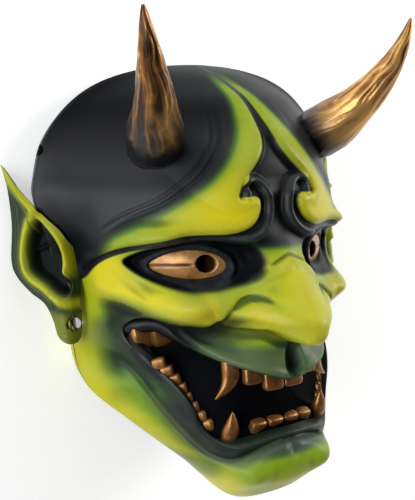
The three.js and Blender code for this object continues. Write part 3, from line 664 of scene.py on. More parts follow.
def addAttribute(mesh, key, values):
    # The paint is a colour at each point and the rest a number; a single one goes to all points.
    count = len(mesh.vertices)
    if key == "paint":
        colours = np.broadcast_to(np.reshape(values, (-1, 3)), (count, 3))
        layer = mesh.color_attributes.new(key, "FLOAT_COLOR", "POINT")
        layer.data.foreach_set("color", np.hstack([colours, np.ones((count, 1))]).ravel())
    else:
        layer = mesh.attributes.new(key, "FLOAT", "POINT")
        layer.data.foreach_set("value", np.broadcast_to(np.ravel(values), count).astype(float))


def faceOutward(mesh):
    # A mesh is turned when its signed volume, the sum over its triangles of a . (b x c) / 6, is negative.
    mesh.calc_loop_triangles()
    corners = np.empty(len(mesh.loop_triangles) * 3, np.int32)
    mesh.loop_triangles.foreach_get("vertices", corners)
    places = np.empty(len(mesh.vertices) * 3)
    mesh.vertices.foreach_get("co", places)
    a, b, c = places.reshape(-1, 3)[corners].reshape(-1, 3, 3).transpose(1, 0, 2)
    if np.einsum("ij,ij->", a, np.cross(b, c)) / 6 < 0:
        mesh.flip_normals()


def addPiece(name, mesh, material, slotName, *nodes):
    # The piece rides on the only body and stands for the solids named.
    faceOutward(mesh)
    obj = addObject(name, mesh)
    mesh.materials.append(material)
    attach(obj, "root")
    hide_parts(*nodes)
    print("made", name, len(mesh.polygons), "faces")


# Four bores for a strap, through the sides of the shell and the ears.

strap = {
    # Where each hole of one side meets the wall, and the way it is drilled.
    "holes": [((82.5, -30, 23), (0.6, 0.25, 0.9)), ((95, 64, 11.5), (1, 0.1, 0.4))],
    "radius": 3.4, "length": 30, "sides": 48,
    "paint": (0, 0.2, 0), "edgePaint": (0, 0.15, 0), "fromLine": 5,
}


def strapBore(place, along, way):
    # A cylinder as two circles round its axis. The other side's run backwards, so that it isn't inside out.
    along = unit(along)
    up = unit(np.cross(along, [0, 1, 0]))
    a = turns(strap["sides"])[:, None]
    circle = strap["radius"] * (np.cos(a) * np.cross(up, along) + np.sin(a) * up)
    ends = np.array([-0.5, 0.5])[:, None, None] * strap["length"] * along
    return ((place + circle + ends) * [way, 1, 1])[:, ::way]


def bored(mesh, cutter):
    # The mesh with the cutter's volume taken out of it.
    for one in (mesh, cutter):
        faceOutward(one)
    whole, tool = addObject(mesh.name, mesh), addObject(cutter.name, cutter)
    cut = whole.modifiers.new("bores", "BOOLEAN")
    cut.operation, cut.solver, cut.object = "DIFFERENCE", "MANIFOLD", tool
    result = bpy.data.meshes.new_from_object(whole.evaluated_get(bpy.context.evaluated_depsgraph_get()))
    result.name = mesh.name
    result.materials.clear()
    # Points made along the cut have no paint of their own, and come out white.
    layer = result.attributes["paint"].data
    colours = np.empty((len(layer), 4))
    layer.foreach_get("color", colours.ravel())
    colours[colours[:, :3].min(1) > 0.99] = (*strap["edgePaint"], 1)
    layer.foreach_set("color", colours.ravel())
    for obj in (whole, tool):
        bpy.data.objects.remove(obj)
    return result


# Eyes: an egg behind each pair of lids, with the pupil bored through it.

eye = {
    "centre": (36, 5.4, 69), "half": (28, 13.5, 10), "turn": 38, "pupil": (35.2, 6.2), "pupilRadius": 4.8,
    "depthWeight": 0.35,  # how much of a direction's depth counts towards the pupil's width
    "crease": 0.9, "creaseWidth": 0.5, "creaseStart": (40.5, 2), "bark": 0.72, "creaseBark": 0.6,
    "rings": 70, "sides": 96, "tubeRings": 6,
}


def eyeballGrid():
    # The egg as circles round the pupil's axis, from the front rim of its hole to the back one; the tube joins
    # the last circle to the first. A crease runs from the pupil to the outer corner.
    turn = np.radians(eye["turn"])
    rotate = np.array([[np.cos(turn), 0, np.sin(turn)], [0, 1, 0], [-np.sin(turn), 0, np.cos(turn)]])
    half, centre = np.array(eye["half"]), np.array(eye["centre"])
    line = rotate.T @ np.array([0, 0, 1.0]) / half
    start = rotate.T @ (np.array([*eye["pupil"], centre[2]]) - centre) / half
    a, b, c = line @ line, 2 * line @ start, start @ start - 1
    pole = unit(start + line * (-b + np.sqrt(b * b - 4 * a * c)) / (2 * a))
    side = unit(np.cross([0, 1, 0], pole))
    up = np.cross(pole, side)
    around = turns(eye["sides"])[:, None]
    direction = np.cos(around) * side + np.sin(around) * up
    reach = np.linalg.norm((direction * half) @ rotate.T * [1, 1, eye["depthWeight"]], axis=1)
    first = np.arcsin(np.clip(eye["pupilRadius"] / reach, 0, 0.9))
    angle = first + (np.pi - 2 * first) * np.linspace(0, 1, eye["rings"])[:, None]
    ball = np.cos(angle)[..., None] * pole + np.sin(angle)[..., None] * direction
    ball = (ball * half) @ rotate.T + centre
    t = np.linspace(0, 1, eye["tubeRings"] + 2)[1:-1, None, None]
    tube = ball[-1:] + (ball[:1] - ball[-1:]) * t
    level = bell((ball - centre) @ up, eye["creaseWidth"])
    crease = eye["crease"] * level * fade(ball[..., 0], *eye["creaseStart"])
    ball = ball - crease[..., None] * np.array([0, 0, 1])
    # The tube through the pupil gets the darkest bronze: painted shade inside the hole.
    bark = np.concatenate([eye["bark"] - eye["creaseBark"] * crease, np.zeros(tube.shape[:2])])
    return np.concatenate([ball, tube]), bark


# Ears, drawn flat in their own plane: across from the root, and up.

ear = {
    "root": (82.4, 0, 41.8), "normal": (0.79, 0.05, 0.60), "middle": (25, 6),
    "thickness": 3.6, "backBulge": 5,
    "outline": [(50, 57.2), (48.4, 46), (46.4, 25), (47.1, 5.3), (44.2, -3.8), (36.9, -11.6), (28.1, -17.6),
                (23.4, -25.4), (21.9, -30.7), (20, -35.4), (15.6, -38.4), (11, -38.5), (9.4, -34), (9.2, -26),
                (9.4, -8), (9.2, 4), (11, 13), (16.5, 21.8), (25.5, 29.5), (35.5, 38.6), (44.5, 48.5)],
    "helix": [(49.4, 56.8), (44.5, 47.8), (35.5, 37), (25.3, 27.8), (17.2, 19.5), (13.4, 11.8), (12.4, 5.5),
              (13.4, 1)],
    "loop": [(29, 33.5), (32.5, 31.1), (37.2, 20.8), (39.3, 7.8), (36.7, -2.3), (26.9, -8.8), (20.7, -13.8),
             (14.3, -16.4), (6, -17)],
    "crus": [(36, 10), (29, 13), (19.9, 17.2)],
    "concha": [(14.6, 1), (15.5, 11), (20, 18.6), (28, 28), (33, 25.5), (36.5, 15), (36, 6), (33.5, -1),
               (25.5, -6.8), (18.5, -12), (13.5, -13), (11.5, -6)],
    "height": 1.2, "conchaDepth": 7.0, "conchaEdge": (-0.5, 5),
    "ridges": {"helix": (2.6, 2.4), "loop": (2.2, 2.2), "crus": (1.6, 1.1)},  # height and half width
    "crusEnds": (0.2, 0.2), "gutter": 1.6, "gutterPlace": 4, "gutterWidth": 3, "edgeFall": 2.2,
    "lift": 0.012, "liftFrom": 36, "tuck": 0.55, "tuckFrom": 14.5,  # the tip bends out, the root bends in
    # Paint: how wide helix and loop count as ridges, the lobe's share, yellow, and the least green and the rest.
    "yellowWidth": (3.0, 2.6), "lobe": 0.35, "lobeFade": (-19, -7), "backRidge": 0.25, "backDark": 0.3,
    "yellow": 0.55, "green": (0.25, 0.75), "darkening": 0.9, "shade": 0.8, "fromLine": 5,
    "relief": 0.3,
    "rings": 84, "backRings": 24, "sides": 180, "smallest": 0.004,
}


def earGrid():
    # Rings from the middle to the outline; the front is carved, the back bulges by powers of the share outwards,
    # and both meet at the edge.
    outline = smoothLine(ear["outline"], True, 12)
    middle = np.array(ear["middle"], float)
    bearing = np.unwrap(np.arctan2(*(outline - middle).T[::-1]))
    around = np.linspace(bearing[0], bearing[-1], ear["sides"] + 1)[:-1]
    order = np.argsort(bearing)
    edge = np.stack([np.interp(around, bearing[order], outline[order, i]) for i in (0, 1)], -1)
    share = np.linspace(ear["smallest"], 1, ear["rings"])[:, None, None]
    flat = middle + (edge - middle) * share
    h, v = flat[..., 0], flat[..., 1]
    ridges = {name: nearest(h, v, smoothLine(ear[name])) for name in ear["ridges"]}
    fromRidge = {name: np.abs(distance) for name, (distance, _) in ridges.items()}
    deep = depthInside(h, v, smoothLine(ear["concha"], True))
    outside = depthInside(h, v, outline)
    rise = {name: height * bell(fromRidge[name], width) for name, (height, width) in ear["ridges"].items()}
    rise["crus"] = rise["crus"] * fadeEnds(ridges["crus"][1], *ear["crusEnds"])
    wide = ear["gutterWidth"]
    gutter = ear["gutter"] * bell(outside - ear["gutterPlace"], wide) * fade(fromRidge["helix"], wide, wide)
    front = (ear["height"] - ear["conchaDepth"] * fade(deep, *ear["conchaEdge"]) + sum(rise.values()) - gutter
             - ear["edgeFall"] * fade(outside, wide, -wide))
    back = np.linspace(1, ear["smallest"], ear["backRings"])[1:, None, None]
    k = back[..., 0]
    thickness = ear["thickness"] * np.sqrt(np.clip(1 - k ** 4, 0, 1)) + ear["backBulge"] * (1 - k ** 2)
    behind = front[-1:] - thickness
    height = np.concatenate([front, behind])
    flat = np.concatenate([flat, middle + (edge - middle) * back])
    n = unit(ear["normal"])
    across = unit(np.array([n[2], 0, -n[0]]))
    up = np.cross(n, across)
    lift = (ear["lift"] * np.maximum(flat[..., 0] - ear["liftFrom"], 0) ** 2
            - ear["tuck"] * np.maximum(ear["tuckFrom"] - flat[..., 0], 0) ** 1.5)
    points = ear["root"] + flat[..., :1] * across + flat[..., 1:] * up + (height + lift)[..., None] * n
    helixWide, loopWide = ear["yellowWidth"]
    ridge = np.maximum(bell(fromRidge["helix"], helixWide), bell(fromRidge["loop"], loopWide))
    ridge = np.maximum(ridge, ear["lobe"] * fade(v, *ear["lobeFade"]))
    ridge = np.concatenate([ridge, np.full(behind.shape, ear["backRidge"])])
    dark = np.concatenate([fade(deep, -1, 4), np.full(behind.shape, ear["backDark"])])
    return points, ridge, dark


# Teeth: a rounded post carried from its root to its tip.

teeth = {
    # Root, tip, width, thickness, pointed or not, how far the middle leans aside.
    "upper": [((6.2, -50, 98), (6.4, -62, 100), 12.4, 6, 0, (0, 0, 0)),
              ((17.6, -46, 95.5), (18, -57.4, 97.5), 11, 6, 0, (0, 0, 0)),
              ((28, -43, 89.5), (37, -63.8, 90.3), 11, 8, 1, (-4, -2.5, 1)),
              ((49, -27, 56), (47, -40.4, 54.5), 14, 10, 0, (0, 0, 0)),
              ((59, -29, 50), (55.8, -42.6, 50.5), 13, 10, 0, (0, 0, 0))],
    "lower": [((5, -86, 96), (5, -77, 100), 9.8, 6, 0, (0, 0, 0)),
              ((14.8, -86.5, 94.5), (14.8, -77.6, 98.5), 9.6, 6, 0, (0, 0, 0)),
              ((29.4, -86.5, 91), (29.8, -70.5, 95.5), 9.4, 8, 1, (0, 0, 1))],
    "sideRow": [(52.6, -46.4, 67.6), (48.4, -52.4, 71.2), (44.8, -58.6, 74), (42, -65, 76.5),
                (39.2, -71.4, 80.8), (35, -79, 85.4)],
    "sideCount": 8, "sideRoot": (5.5, -1.5, -4.5), "sideWidth": 6.5, "sideThickness": 5,
    "upperGum": [(65, -33, 41), (60.5, -29, 50), (52, -28, 58), (44, -33, 66), (36, -38.5, 77), (28, -42, 88),
                 (18, -45.5, 95), (9, -49, 99), (0, -51.5, 100)],
    "lowerGum": [(63, -37, 44), (59.5, -44.5, 57), (54, -52.5, 64), (49.5, -60, 69), (44.5, -70, 75),
                 (40, -79.5, 79.5), (35.5, -87, 83), (28, -90.5, 89.5), (19, -90, 93.5), (9.5, -89, 96),
                 (0, -88.5, 97)],
    "gumRadius": 4.6, "gumRings": 90, "gumSides": 30, "rings": 26, "sides": 28, "bark": 0.6,
    # Width along a tooth, and how square its section is: 1 is round.
    "pointed": [(0, 0.9), (0.25, 1), (0.5, 0.82), (0.75, 0.5), (0.93, 0.2), (1, 0.05)],
    "blunt": [(0, 0.85), (0.35, 1), (0.78, 1.0), (0.92, 0.92), (0.98, 0.74), (1, 0.45)],
    "pointedPower": 1.0, "bluntPower": 0.6,
}


def toothGrid(root, tip, width, thickness, pointed, lean, across=None):
    # Sections |cos|^power by |sin|^power along a line that bends aside by a sine; their width runs across it.
    root, tip = np.array(root, float), np.array(tip, float)
    kind = "pointed" if pointed else "blunt"
    t = np.linspace(0, 1, teeth["rings"])
    along = tip - root
    if across is None:
        across = np.cross(along, [0, 0, 1])
    across = unit(across - along * (across @ along) / (along @ along))
    front = np.cross(across, unit(along))
    size = 0.5 * fromTable(teeth[kind], t)[:, None]
    a, power = turns(teeth["sides"]), teeth[kind + "Power"]
    c, s = (np.sign(w) * np.abs(w) ** power for w in (np.cos(a), np.sin(a)))
    middle = root + along * t[:, None, None] + np.array(lean) * np.sin(np.pi * t)[:, None, None]
    return middle + across * (width * size * c)[..., None] + front * (thickness * size * s)[..., None]


def toothRows(name):
    # The listed teeth of both sides, and for the lower jaw the rows along the sides.
    rows = list(teeth[name])
    if name == "lower":
        tips = alongLine(teeth["sideRow"], teeth["sideCount"])
        for tip, across in zip(tips, np.gradient(tips, axis=0)):
            size = teeth["sideWidth"], teeth["sideThickness"]
            rows.append((tip + teeth["sideRoot"], tip, *size, 0, (0, 0, 0), across))
    # The other side's run round backwards, so that they aren't inside out.
    return [(toothGrid(*row) * [way, 1, 1])[:, ::way] for row in rows for way in (1, -1)]


def gumGrid(line):
    # Circles along a round ridge behind the lip, from one corner of the mouth to the other.
    half = alongLine(line, teeth["gumRings"])
    middle = np.concatenate([half, half[-2::-1] * otherSide])
    along = unit(np.gradient(middle, axis=0))
    side = unit(np.cross(along, [0, 0, 1.0]))
    up = np.cross(side, along)
    a = turns(teeth["gumSides"])[:, None]
    return middle[:, None] + teeth["gumRadius"] * (side[:, None] * np.cos(a) + up[:, None] * np.sin(a))


# Horns.

horn = {
    "route": [(52, 66.5, 59), (65, 83, 89), (78, 107, 104), (82, 130.5, 106)],
    "radius": [(0, 14.2), (0.06, 15), (0.14, 14.7), (0.3, 11.8), (0.55, 8.2), (0.8, 4.4), (0.95, 1.9),
               (1, 0.8)],
    "rings": 330, "sides": 220, "foot": 5,
    "barkDepth": 0.9, "barkLevel": 0.95, "leastBark": 0.15, "fullBark": 9,  # full depth from this radius on
    # Noise cells along and around, and the seed; then how sharp the ridges are and their share of the height.
    "sway": (9, 4, 3), "swayWidth": 0.06, "twist": 0.05,
    "veins": [((4, 13, 11), 0.7, 0.65), ((9, 29, 23), 0.6, 0.35)],
    # Black at the roots is the horns' own paint, reaching further up the right horn as painted shade; the tone
    # shift is painted light, lighter on the left horn and darker on the right.
    "soot": {"left": 0.3, "right": 0.5}, "sootFade": 0.8, "tipBark": 0.6,
    "paintedLightShift": {"left": 0.28, "right": -0.06},
}


def latticeNoise(along, around, cellsAlong, cellsAround, seed):
    # Random heights on a lattice, eased between its corners; it repeats round the horn.
    table = np.random.default_rng(seed).random((cellsAlong + 2, cellsAround))
    a, b = along * cellsAlong, around * cellsAround
    i, j = np.floor(a).astype(int), np.floor(b).astype(int)
    u, w = ease(a - i), ease(b - j)
    i = np.clip(i, 0, cellsAlong)
    j0, j1 = j % cellsAround, (j + 1) % cellsAround
    return ((table[i, j0] * (1 - u) + table[i + 1, j0] * u) * (1 - w)
            + (table[i, j1] * (1 - u) + table[i + 1, j1] * u) * w)


def barkHeight(t, around):
    # Lengthwise veins, 1 - |2 noise - 1|^power: ridges where two wandering noises cross their middle value.
    sway = horn["swayWidth"] * (latticeNoise(t, around, *horn["sway"]) - 0.5) + horn["twist"] * t
    a = (around + sway) % 1
    return sum(share * (1 - np.abs(2 * latticeNoise(t, a, *cells) - 1) ** power)
               for cells, power, share in horn["veins"])


def hornGrid():
    # A round section carried along a cubic Bezier line, its radius from the table and the bark on top.
    p = np.array(horn["route"], float)
    t = np.linspace(0, 1, horn["rings"])[:, None]
    middle = (1 - t) ** 3 * p[0] + 3 * t * (1 - t) ** 2 * p[1] + 3 * t * t * (1 - t) * p[2] + t ** 3 * p[3]
    along = unit(np.gradient(middle, axis=0))
    front = unit(np.cross(unit(np.cross([0, 0, 1], p[1] - p[0])), along))
    across = np.cross(along, front)
    around = np.linspace(0, 1, horn["sides"], endpoint=False)[None]
    bark = barkHeight(t + 0 * around, around + 0 * t)
    plain = fromTable(horn["radius"], t)
    depth = horn["barkDepth"] * np.clip(plain / horn["fullBark"], horn["leastBark"], 1)
    radius = plain + depth * (bark - horn["barkLevel"])
    a = 2 * np.pi * around
    ring = (middle[:, None] + across[:, None] * (radius * np.cos(a))[..., None]
            + front[:, None] * (radius * np.sin(a))[..., None])
    foot = ring[:1] - unit(p[1] - p[0]) * horn["foot"]
    return np.concatenate([foot, ring]), np.concatenate([bark[:1], bark]), np.concatenate([t[:1], t])


# Paint on the face.

spray = {
    "faceEdge": -1, "lineWidth": 2.2,  # the black brow line runs below the band's edge
    "greenBand": (-5, 6), "yellowBand": (-2, 6), "bandLeast": 0.25,
    "belowEyes": (21, -8), "besideEyes": (62, 6), "besideShare": 0.9, "roundEyes": (-1.2, 2.2),
    "bridgeWidth": 16,
    "underCheek": (5.5, 5), "underCheekEnds": (0.1, 0.08), "cheekBand": (-6, 8), "wingCrease": 2.2,
    "sideLip": 12, "lowerLip": (1.4, -2.6), "lipHighlight": (1.5, 1.5), "chinTop": (0, 2), "jaw": (-15, 12),
    "creviceDepth": 0.8, "shadeDepth": 1.2, "underEar": (30, 16), "mostShade": 0.9,
    # Shares of yellow on all that stands proud.
    "yellow": {"cheekBand": 0.9, "noseTop": 0.68, "wings": 0.75, "jaw": 0.68, "temple": 0.5},
    # Painted shade: shares of gloss taken away in the sockets, the crevices and the other places that shade
    # falls on.
    "paintedShade": {"socket": 0.7, "crevice": 0.5, "philtrum": 0.7, "underEar": 1.0, "crown": 0.8},
}


def without(share, amount):
    # What is left of a colour where a share of it is taken away.
    return 1 - amount * share


def facePaint(points, relief):
    # At each point: shares of yellow, green and lip grey, the distance from the black brow line, and the gloss
    # that is taken away as painted shade.
    x, y, z = np.abs(points[..., 0]), points[..., 1], points[..., 2]
    there = {name: within(name, x, y) for name in zones}
    up, socket = depthInside(x, y, drawn["capSide"]), depthInside(x, y, drawn["socket"])
    fromCheek, cheekShare = nearest(x, y, drawn["cheekEdge"])
    fromWing, wingShare = nearest(x, y, drawn["wingCrease"])
    fromTop, fromMouth, fromLip = (nearest(x, y, drawn[name])[0]
                                   for name in ("bandTop", "mouthEdge", "lipOuter"))
    inFace = (up < spray["faceEdge"]).astype(float)

    # The band: crisp at its lower edge, sprayed soft towards the cap.
    bandGreen = (1 - inFace) * fade(fromTop, *spray["greenBand"]) * there["greenBand"]
    bandYellow = (1 - inFace) * fade(fromTop, *spray["yellowBand"]) * there["yellowBand"]
    # The yellow is fullest round the middle of each band and thinner elsewhere: a painted highlight.
    bandYellow = bandYellow * (spray["bandLeast"] + (1 - spray["bandLeast"]) * there["bandHighlight"])

    # Green spray over the face, left off round the eyes, under the cheek and along the lips.
    start, width = spray["belowEyes"]
    belowEyes = ease((y - start) / width + spray["besideShare"] * fade(x, *spray["besideEyes"]))
    place, width = spray["underCheek"]
    there["underCheek"] *= bell(fromCheek - place, width) * fadeEnds(cheekShare, *spray["underCheekEnds"])
    there["sideLip"] *= bell(fromMouth, spray["sideLip"])
    there["lowerLip"] *= fade(fromLip, *spray["lowerLip"])
    skin = (inFace * np.where(x < spray["bridgeWidth"], there["bridge"], belowEyes)
            * without(fade(socket, *spray["roundEyes"]), 1) * without(there["underCheek"], 0.85)
            * without(there["sideLip"], 0.9) * without(there["lowerLip"], 0.9))
    upperLip = there["upperLip"] * inFace * without(there["philtrum"], 0.9)
    chinTop = there["chinTop"] * fade(fromLip, *spray["chinTop"])
    # A lighter line of lip grey and a little yellow along the outer edge of the lower lip: a painted highlight.
    place, width = spray["lipHighlight"]
    lipHighlight = there["lipHighlight"] * bell(fromLip - place, width)

    # Yellow over the green on all that stands proud.
    place, width = spray["cheekBand"]
    there["cheekBand"] *= bell(fromCheek - place, width)
    there["jaw"] *= fade(x - halfWidth(y), *spray["jaw"]) * without(there["jawGap"], 0.3)
    proud = sum(share * there[name] for name, share in spray["yellow"].items())
    crease = bell(fromWing, spray["wingCrease"]) * fadeEnds(wingShare, 0.1, 0.1)
    yellow = (bandYellow + skin * np.clip(proud, 0, 1)) * without(upperLip, 0.85) * without(crease, 0.6)
    yellow = yellow * without(there["jawEdge"], 0.75) + 0.5 * skin * there["chinLow"] + 0.18 * lipHighlight
    green = bandGreen + skin * without(chinTop, 0.8) * without(there["jawEdge"], 0.4)
    green = np.clip(green, 0, 1) * without(there["philtrum"], 0.8)
    crevice = ease(-relief / spray["creviceDepth"]) * there["creviceEnd"]
    masks = [np.clip(yellow, 0, 1) * without(crevice, 0.7) * without(chinTop, 0.9),
             green * without(crevice, 0.6), np.clip(upperLip * skin + 0.9 * chinTop + 0.9 * lipHighlight, 0, 1)]

    # Painted shade: gloss is taken away in the eye sockets, between the brows and where the ears stand over the
    # wall.
    place, width = spray["underEar"]
    there["underEar"] *= bell(z - place, width)
    there["socket"] = fade(socket, -1, 2)
    there["crevice"] = ease(-relief / spray["shadeDepth"])
    there["crown"] *= fade(up, -1, 2)
    shade = np.clip(sum(share * there[name] for name, share in spray["paintedShade"].items()), 0, spray["mostShade"])
    return np.stack(masks, -1), np.maximum(up, -up - spray["lineWidth"]), shade


# Materials.

def newGroup(name, inputs, output):
    # A node group with a vector, floats at their usual values, and one float that comes out.
    group = bpy.data.node_groups.new(name, "ShaderNodeTree")
    group.interface.new_socket(name="Vector", in_out="INPUT", socket_type="NodeSocketVector")
    for key, value in inputs.items():
        made = group.interface.new_socket(name=key, in_out="INPUT", socket_type="NodeSocketFloat")
        made.default_value = value
    group.interface.new_socket(name=output, in_out="OUTPUT", socket_type="NodeSocketFloat")
    given = newNode(group, "NodeGroupInput", (-700, 0)).outputs
    return group, given, newNode(group, "NodeGroupOutput", (500, 0))


# The scale of each noise; how strongly noise breaks up the ridges, worn and partly a painted highlight, and
# where it starts.
texture = {"wave": 90, "peel": 900, "wearAndSheen": 260, "wearContrast": 1.6, "wearStart": -0.25}


def buildCastGrain():
    # Height of a cast and sprayed surface: broad waviness plus fine orange peel.
    group, given, end = newGroup("castGrain", {"Waviness": 0.5, "Orange peel": 0.5}, "Height")
    wave = noiseOn(group, (-400, 200), given["Vector"], texture["wave"], 3)
    peel = noiseOn(group, (-400, -100), given["Vector"], texture["peel"], 2)
    wave = mathNode(group, "MULTIPLY", (-150, 200), wave, given["Waviness"])
    peel = mathNode(group, "MULTIPLY", (-150, -100), peel, given["Orange peel"])
    feed(group, end, {"Height": mathNode(group, "ADD", (100, 0), wave, peel)})
    return group


def buildEdgeWearAndSheen():
    # A mask of ridges, worn and partly a painted highlight: the ridge value broken up by noise.
    group, given, end = newGroup("edgeWearAndSheen", {"Ridge": 0.0, "Amount": 0.5}, "Mask")
    noise = noiseOn(group, (-500, -200), given["Vector"], texture["wearAndSheen"], 4, 0.65)
    contrast, start = texture["wearContrast"], texture["wearStart"]
    broken = mathNode(group, "MULTIPLY_ADD", (-250, -200), noise, contrast, start)
    mask = mathNode(group, "MULTIPLY", (-50, 0), given["Ridge"], broken, clamp=True)
    feed(group, end, {"Mask": mathNode(group, "MULTIPLY", (200, 0), mask, given["Amount"], clamp=True)})
    return group


def newMaterial(name, inputs):
    material = bpy.data.materials.new(name)
    material.use_nodes = True
    tree = material.node_tree
    shader = tree.nodes["Principled BSDF"]
    feed(tree, shader, inputs)
    return material, tree, shader


def addBump(tree, shader, grain, where, waviness, orangePeel, strength, distance):
    # The cast grain pushes the shader's normal about.
    inputs = {"Vector": where, "Waviness": waviness, "Orange peel": orangePeel}
    height = newNode(tree, "ShaderNodeGroup", (-600, -500), inputs, node_tree=grain).outputs["Height"]
    inputs = {"Height": height, "Strength": strength, "Distance": distance}
    feed(tree, shader, {"Normal": newNode(tree, "ShaderNodeBump", (-250, -400), inputs).outputs["Normal"]})


paint = {
    "black": (0.0045, 0.005, 0.0065),
    "darkGreen": (0.012, 0.035, 0.01), "green": (0.075, 0.17, 0.012), "leaf": (0.23, 0.36, 0.01),
    # the last one is the ridges' pale colour: worn paint and partly a painted highlight
    "yellow": (0.66, 0.56, 0.006), "lipGrey": (0.06, 0.09, 0.065), "rubbedAndSheen": (0.09, 0.12, 0.12),
    "roughness": 0.4, "gloss": 0.22, "coat": 0.07, "coatRoughness": 0.22,
    "clouds": 0.3, "cloudScale": 60, "greyShare": 0.8, "ridge": 1.2, "wearAndSheen": 0.22,
    "bump": (0.5, 0.25, 0.18, 0.0006),  # waviness, orange peel, strength and distance in metres
}


def paintedResin(grain, wearAndSheen):
    # From black over green to leaf green by the green mask, with yellow, lip grey and ridges, worn and partly
    # a painted highlight, mixed over it. Clouds of noise thin the spray, and "shade" takes gloss away as painted
    # shade.
    inputs = {"Roughness": paint["roughness"], "Coat Roughness": paint["coatRoughness"]}
    material, tree, shader = newMaterial("paintedResin", inputs)
    where = objectPlace(tree, (-1800, 0))
    colour = attributeOn(tree, (-1700, 300), "paint", "Color")
    masks = newNode(tree, "ShaderNodeSeparateColor", (-1500, 300), {0: colour}).outputs
    noise, clouds = noiseOn(tree, (-1500, 0), where, paint["cloudScale"], 4), paint["clouds"]
    cloud = mathNode(tree, "MULTIPLY_ADD", (-1300, 0), noise, clouds, 1 - clouds / 2)
    beyond = smoothStep(tree, (-1300, 500), {"Value": attributeOn(tree, (-1500, 500), "fromLine")})
    cloud = mathNode(tree, "MULTIPLY", (-1150, 200), cloud, beyond)
    yellow = mathNode(tree, "MULTIPLY", (-1050, 300), cloud, masks[0], clamp=True)
    green = mathNode(tree, "MULTIPLY", (-1050, 100), cloud, masks[1], clamp=True)
    steps = [(0, "black"), (0.3, "darkGreen"), (0.7, "green"), (1, "leaf")]
    body = colourRamp(tree, (-900, 100), green, [(at, paint[key]) for at, key in steps])
    body = mixColour(tree, (-600, 200), yellow, body, paint["yellow"])
    grey = mathNode(tree, "MULTIPLY", (-700, -50), masks[2], paint["greyShare"])
    body = mixColour(tree, (-450, 100), grey, body, paint["lipGrey"])
    # The ridges take a pale colour: worn paint and partly a painted highlight.
    relief = attributeOn(tree, (-1700, -200), "relief")
    ridge = mathNode(tree, "MULTIPLY", (-1100, -300), relief, paint["ridge"], clamp=True)
    inputs = {"Vector": where, "Ridge": ridge, "Amount": paint["wearAndSheen"]}
    rubbedAndSheen = newNode(tree, "ShaderNodeGroup", (-900, -300), inputs, node_tree=wearAndSheen).outputs["Mask"]
    body = mixColour(tree, (-250, 100), rubbedAndSheen, body, paint["rubbedAndSheen"])
    # Less gloss and coat where "shade" is high: painted shade.
    lit = mathNode(tree, "SUBTRACT", (-500, -200), 1.0, attributeOn(tree, (-700, -200), "shade"), clamp=True)
    feed(tree, shader, {"Base Color": body,
                        "Specular IOR Level": mathNode(tree, "MULTIPLY", (-300, -200), lit, paint["gloss"]),
                        "Coat Weight": mathNode(tree, "MULTIPLY", (-300, -300), lit, paint["coat"])})
    addBump(tree, shader, grain, where, *paint["bump"])
    return material


bronze = {"dark": (0.035, 0.014, 0.005), "brown": (0.27, 0.115, 0.03), "gold": (0.80, 0.44, 0.14),
          "roughness": 0.29, "speckle": 0.5, "speckleScale": 160, "bump": (0.8, 0.3, 0.25, 0.0008),
          "metallic": {"hornBronze": 0.7, "toothBronze": 0.6, "eyeBronze": 0.3}}


def bronzePaint(name, grain, rootBlack=None):
    # Dark in the hollows, brown between and gold on the ridges; black hides the metal at a horn's root.
    metallic = bronze["metallic"][name]
    material, tree, shader = newMaterial(name, {"Roughness": bronze["roughness"], "Metallic": metallic})
    where = objectPlace(tree, (-1500, 0))
    noise, speckle = noiseOn(tree, (-1300, 0), where, bronze["speckleScale"], 5), bronze["speckle"]
    speckle = mathNode(tree, "MULTIPLY_ADD", (-1100, 100), noise, speckle, -speckle / 2)
    ridge = mathNode(tree, "ADD", (-950, 200), attributeOn(tree, (-1500, 300), "bark"), speckle, clamp=True)
    steps = [(0.25, bronze["dark"]), (0.62, bronze["brown"]), (0.95, bronze["gold"])]
    body = colourRamp(tree, (-750, 200), ridge, steps)
    if rootBlack:
        # Black at the root, which on one horn reaches further as painted shade.
        soot = attributeOn(tree, (-900, -100), "soot")
        body = mixColour(tree, (-400, 100), soot, body, rootBlack)
        metal = mathNode(tree, "SUBTRACT", (-600, -200), 1.0, soot, clamp=True)
        feed(tree, shader, {"Metallic": mathNode(tree, "MULTIPLY", (-400, -200), metal, metallic)})
    feed(tree, shader, {"Base Color": body})
    addBump(tree, shader, grain, where, *bronze["bump"])
    return material


# The scene is put together here.

addCamera(camera)
for light in studio["lights"]:
    addLight(*light)
addSky()
addFloor()
bpy.context.scene.view_settings.view_transform = "Standard"
print("camera, lights and floor are in place")

grain, wearAndSheen = buildCastGrain(), buildEdgeWearAndSheen()
resin = paintedResin(grain, wearAndSheen)
hornBronze = bronzePaint("hornBronze", grain, paint["black"])
toothBronze, eyeBronze = bronzePaint("toothBronze", grain), bronzePaint("eyeBronze", grain)
print("painted resin and bronze are mixed")

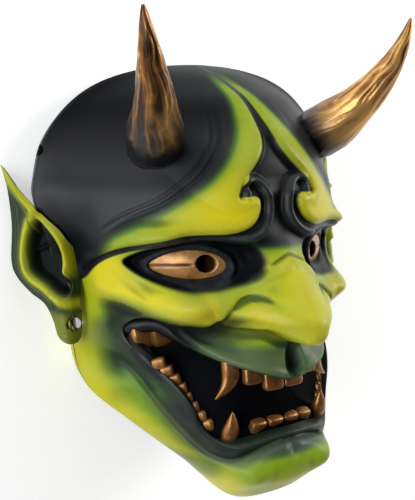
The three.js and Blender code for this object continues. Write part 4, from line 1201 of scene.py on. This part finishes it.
outer = wholeLoop(faceGrid())
inner = hollowGrid(outer)
relief = outer[..., 2] - blurred(outer[..., 2], face["reliefCells"])  # how far a point stands out
colours, fromLine, shade = facePaint(outer, relief)
bare = np.zeros(inner.shape[:2])
relief, fromLine, shade = (np.concatenate([values, bare]) for values in (relief, fromLine, shade))
colours = np.concatenate([colours, np.zeros(inner.shape)])
shell = meshFrom("maskShell", [np.concatenate([outer, inner])], True,
                 paint=colours, relief=relief, fromLine=fromLine, shade=shade)
bores = meshFrom("strapBores", [strapBore(*hole, way) for hole in strap["holes"] for way in (1, -1)],
                 paint=strap["paint"], relief=0, fromLine=strap["fromLine"], shade=0)
addPiece("maskShell", bored(shell, bores), resin, "painted_resin", "mask")
# A dark dish behind the lips, its gloss taken away: painted shade inside the mouth.
addPiece("mouthShadeDish", meshFrom("mouthShadeDish", [mouthShadeDish(outer)], shade=shadeDish["shade"]), resin,
         "painted_resin", "mask")

for name, side in (("left", np.ones(3)), ("right", otherSide)):
    ball, bark = eyeballGrid()
    mesh = meshFrom(name + "Eye", [ball * side], True, bark=bark)
    addPiece(name + "Eye", mesh, eyeBronze, "bronze_horn", "mask")

    # The two last values of an attribute are for the middles that close the ends.
    points, ridge, dark = earGrid()
    ridge = np.append(ridge, [0, 0])
    dark = np.append(dark, [1, ear["backDark"]])
    # The concha is darker, and "shade" takes its gloss away there as painted shade; the ridges' relief brings
    # worn paint that is partly a painted highlight.
    least, more = ear["green"]
    colours = np.stack([ear["yellow"] * ridge * (1 - dark),
                        (least + more * ridge) * without(dark, ear["darkening"]), 0 * ridge], -1)
    mesh = meshFrom(name + "Ear", [points * side], paint=colours, relief=ear["relief"] * ridge,
                    fromLine=ear["fromLine"], shade=ear["shade"] * dark)
    addPiece(name + "Ear", bored(mesh, bores), resin, "painted_resin", "mask")

    points, bark, along = hornGrid()
    # Black at the root, longer on the right horn as painted shade, and each horn's tone shifted: painted light.
    soot = fade(along, horn["soot"][name], -horn["sootFade"] * horn["soot"][name]) + 0 * bark
    bark = bark + horn["paintedLightShift"][name]
    mesh = meshFrom(name + "Horn", [points * side], bark=np.append(bark, [0, horn["tipBark"]]),
                    soot=np.append(soot, [1, 0]))
    addPiece(name + "Horn", mesh, hornBronze, "bronze_horn", "horn_" + name)

for name in ("upper", "lower"):
    mesh = meshFrom(name + "Teeth", toothRows(name), bark=teeth["bark"])
    addPiece(name + "Teeth", mesh, toothBronze, "bronze_horn", "mask")
    mesh = meshFrom(name + "Gum", [gumGrid(teeth[name + "Gum"])])
    addPiece(name + "Gum", mesh, resin, "painted_resin", "mask")
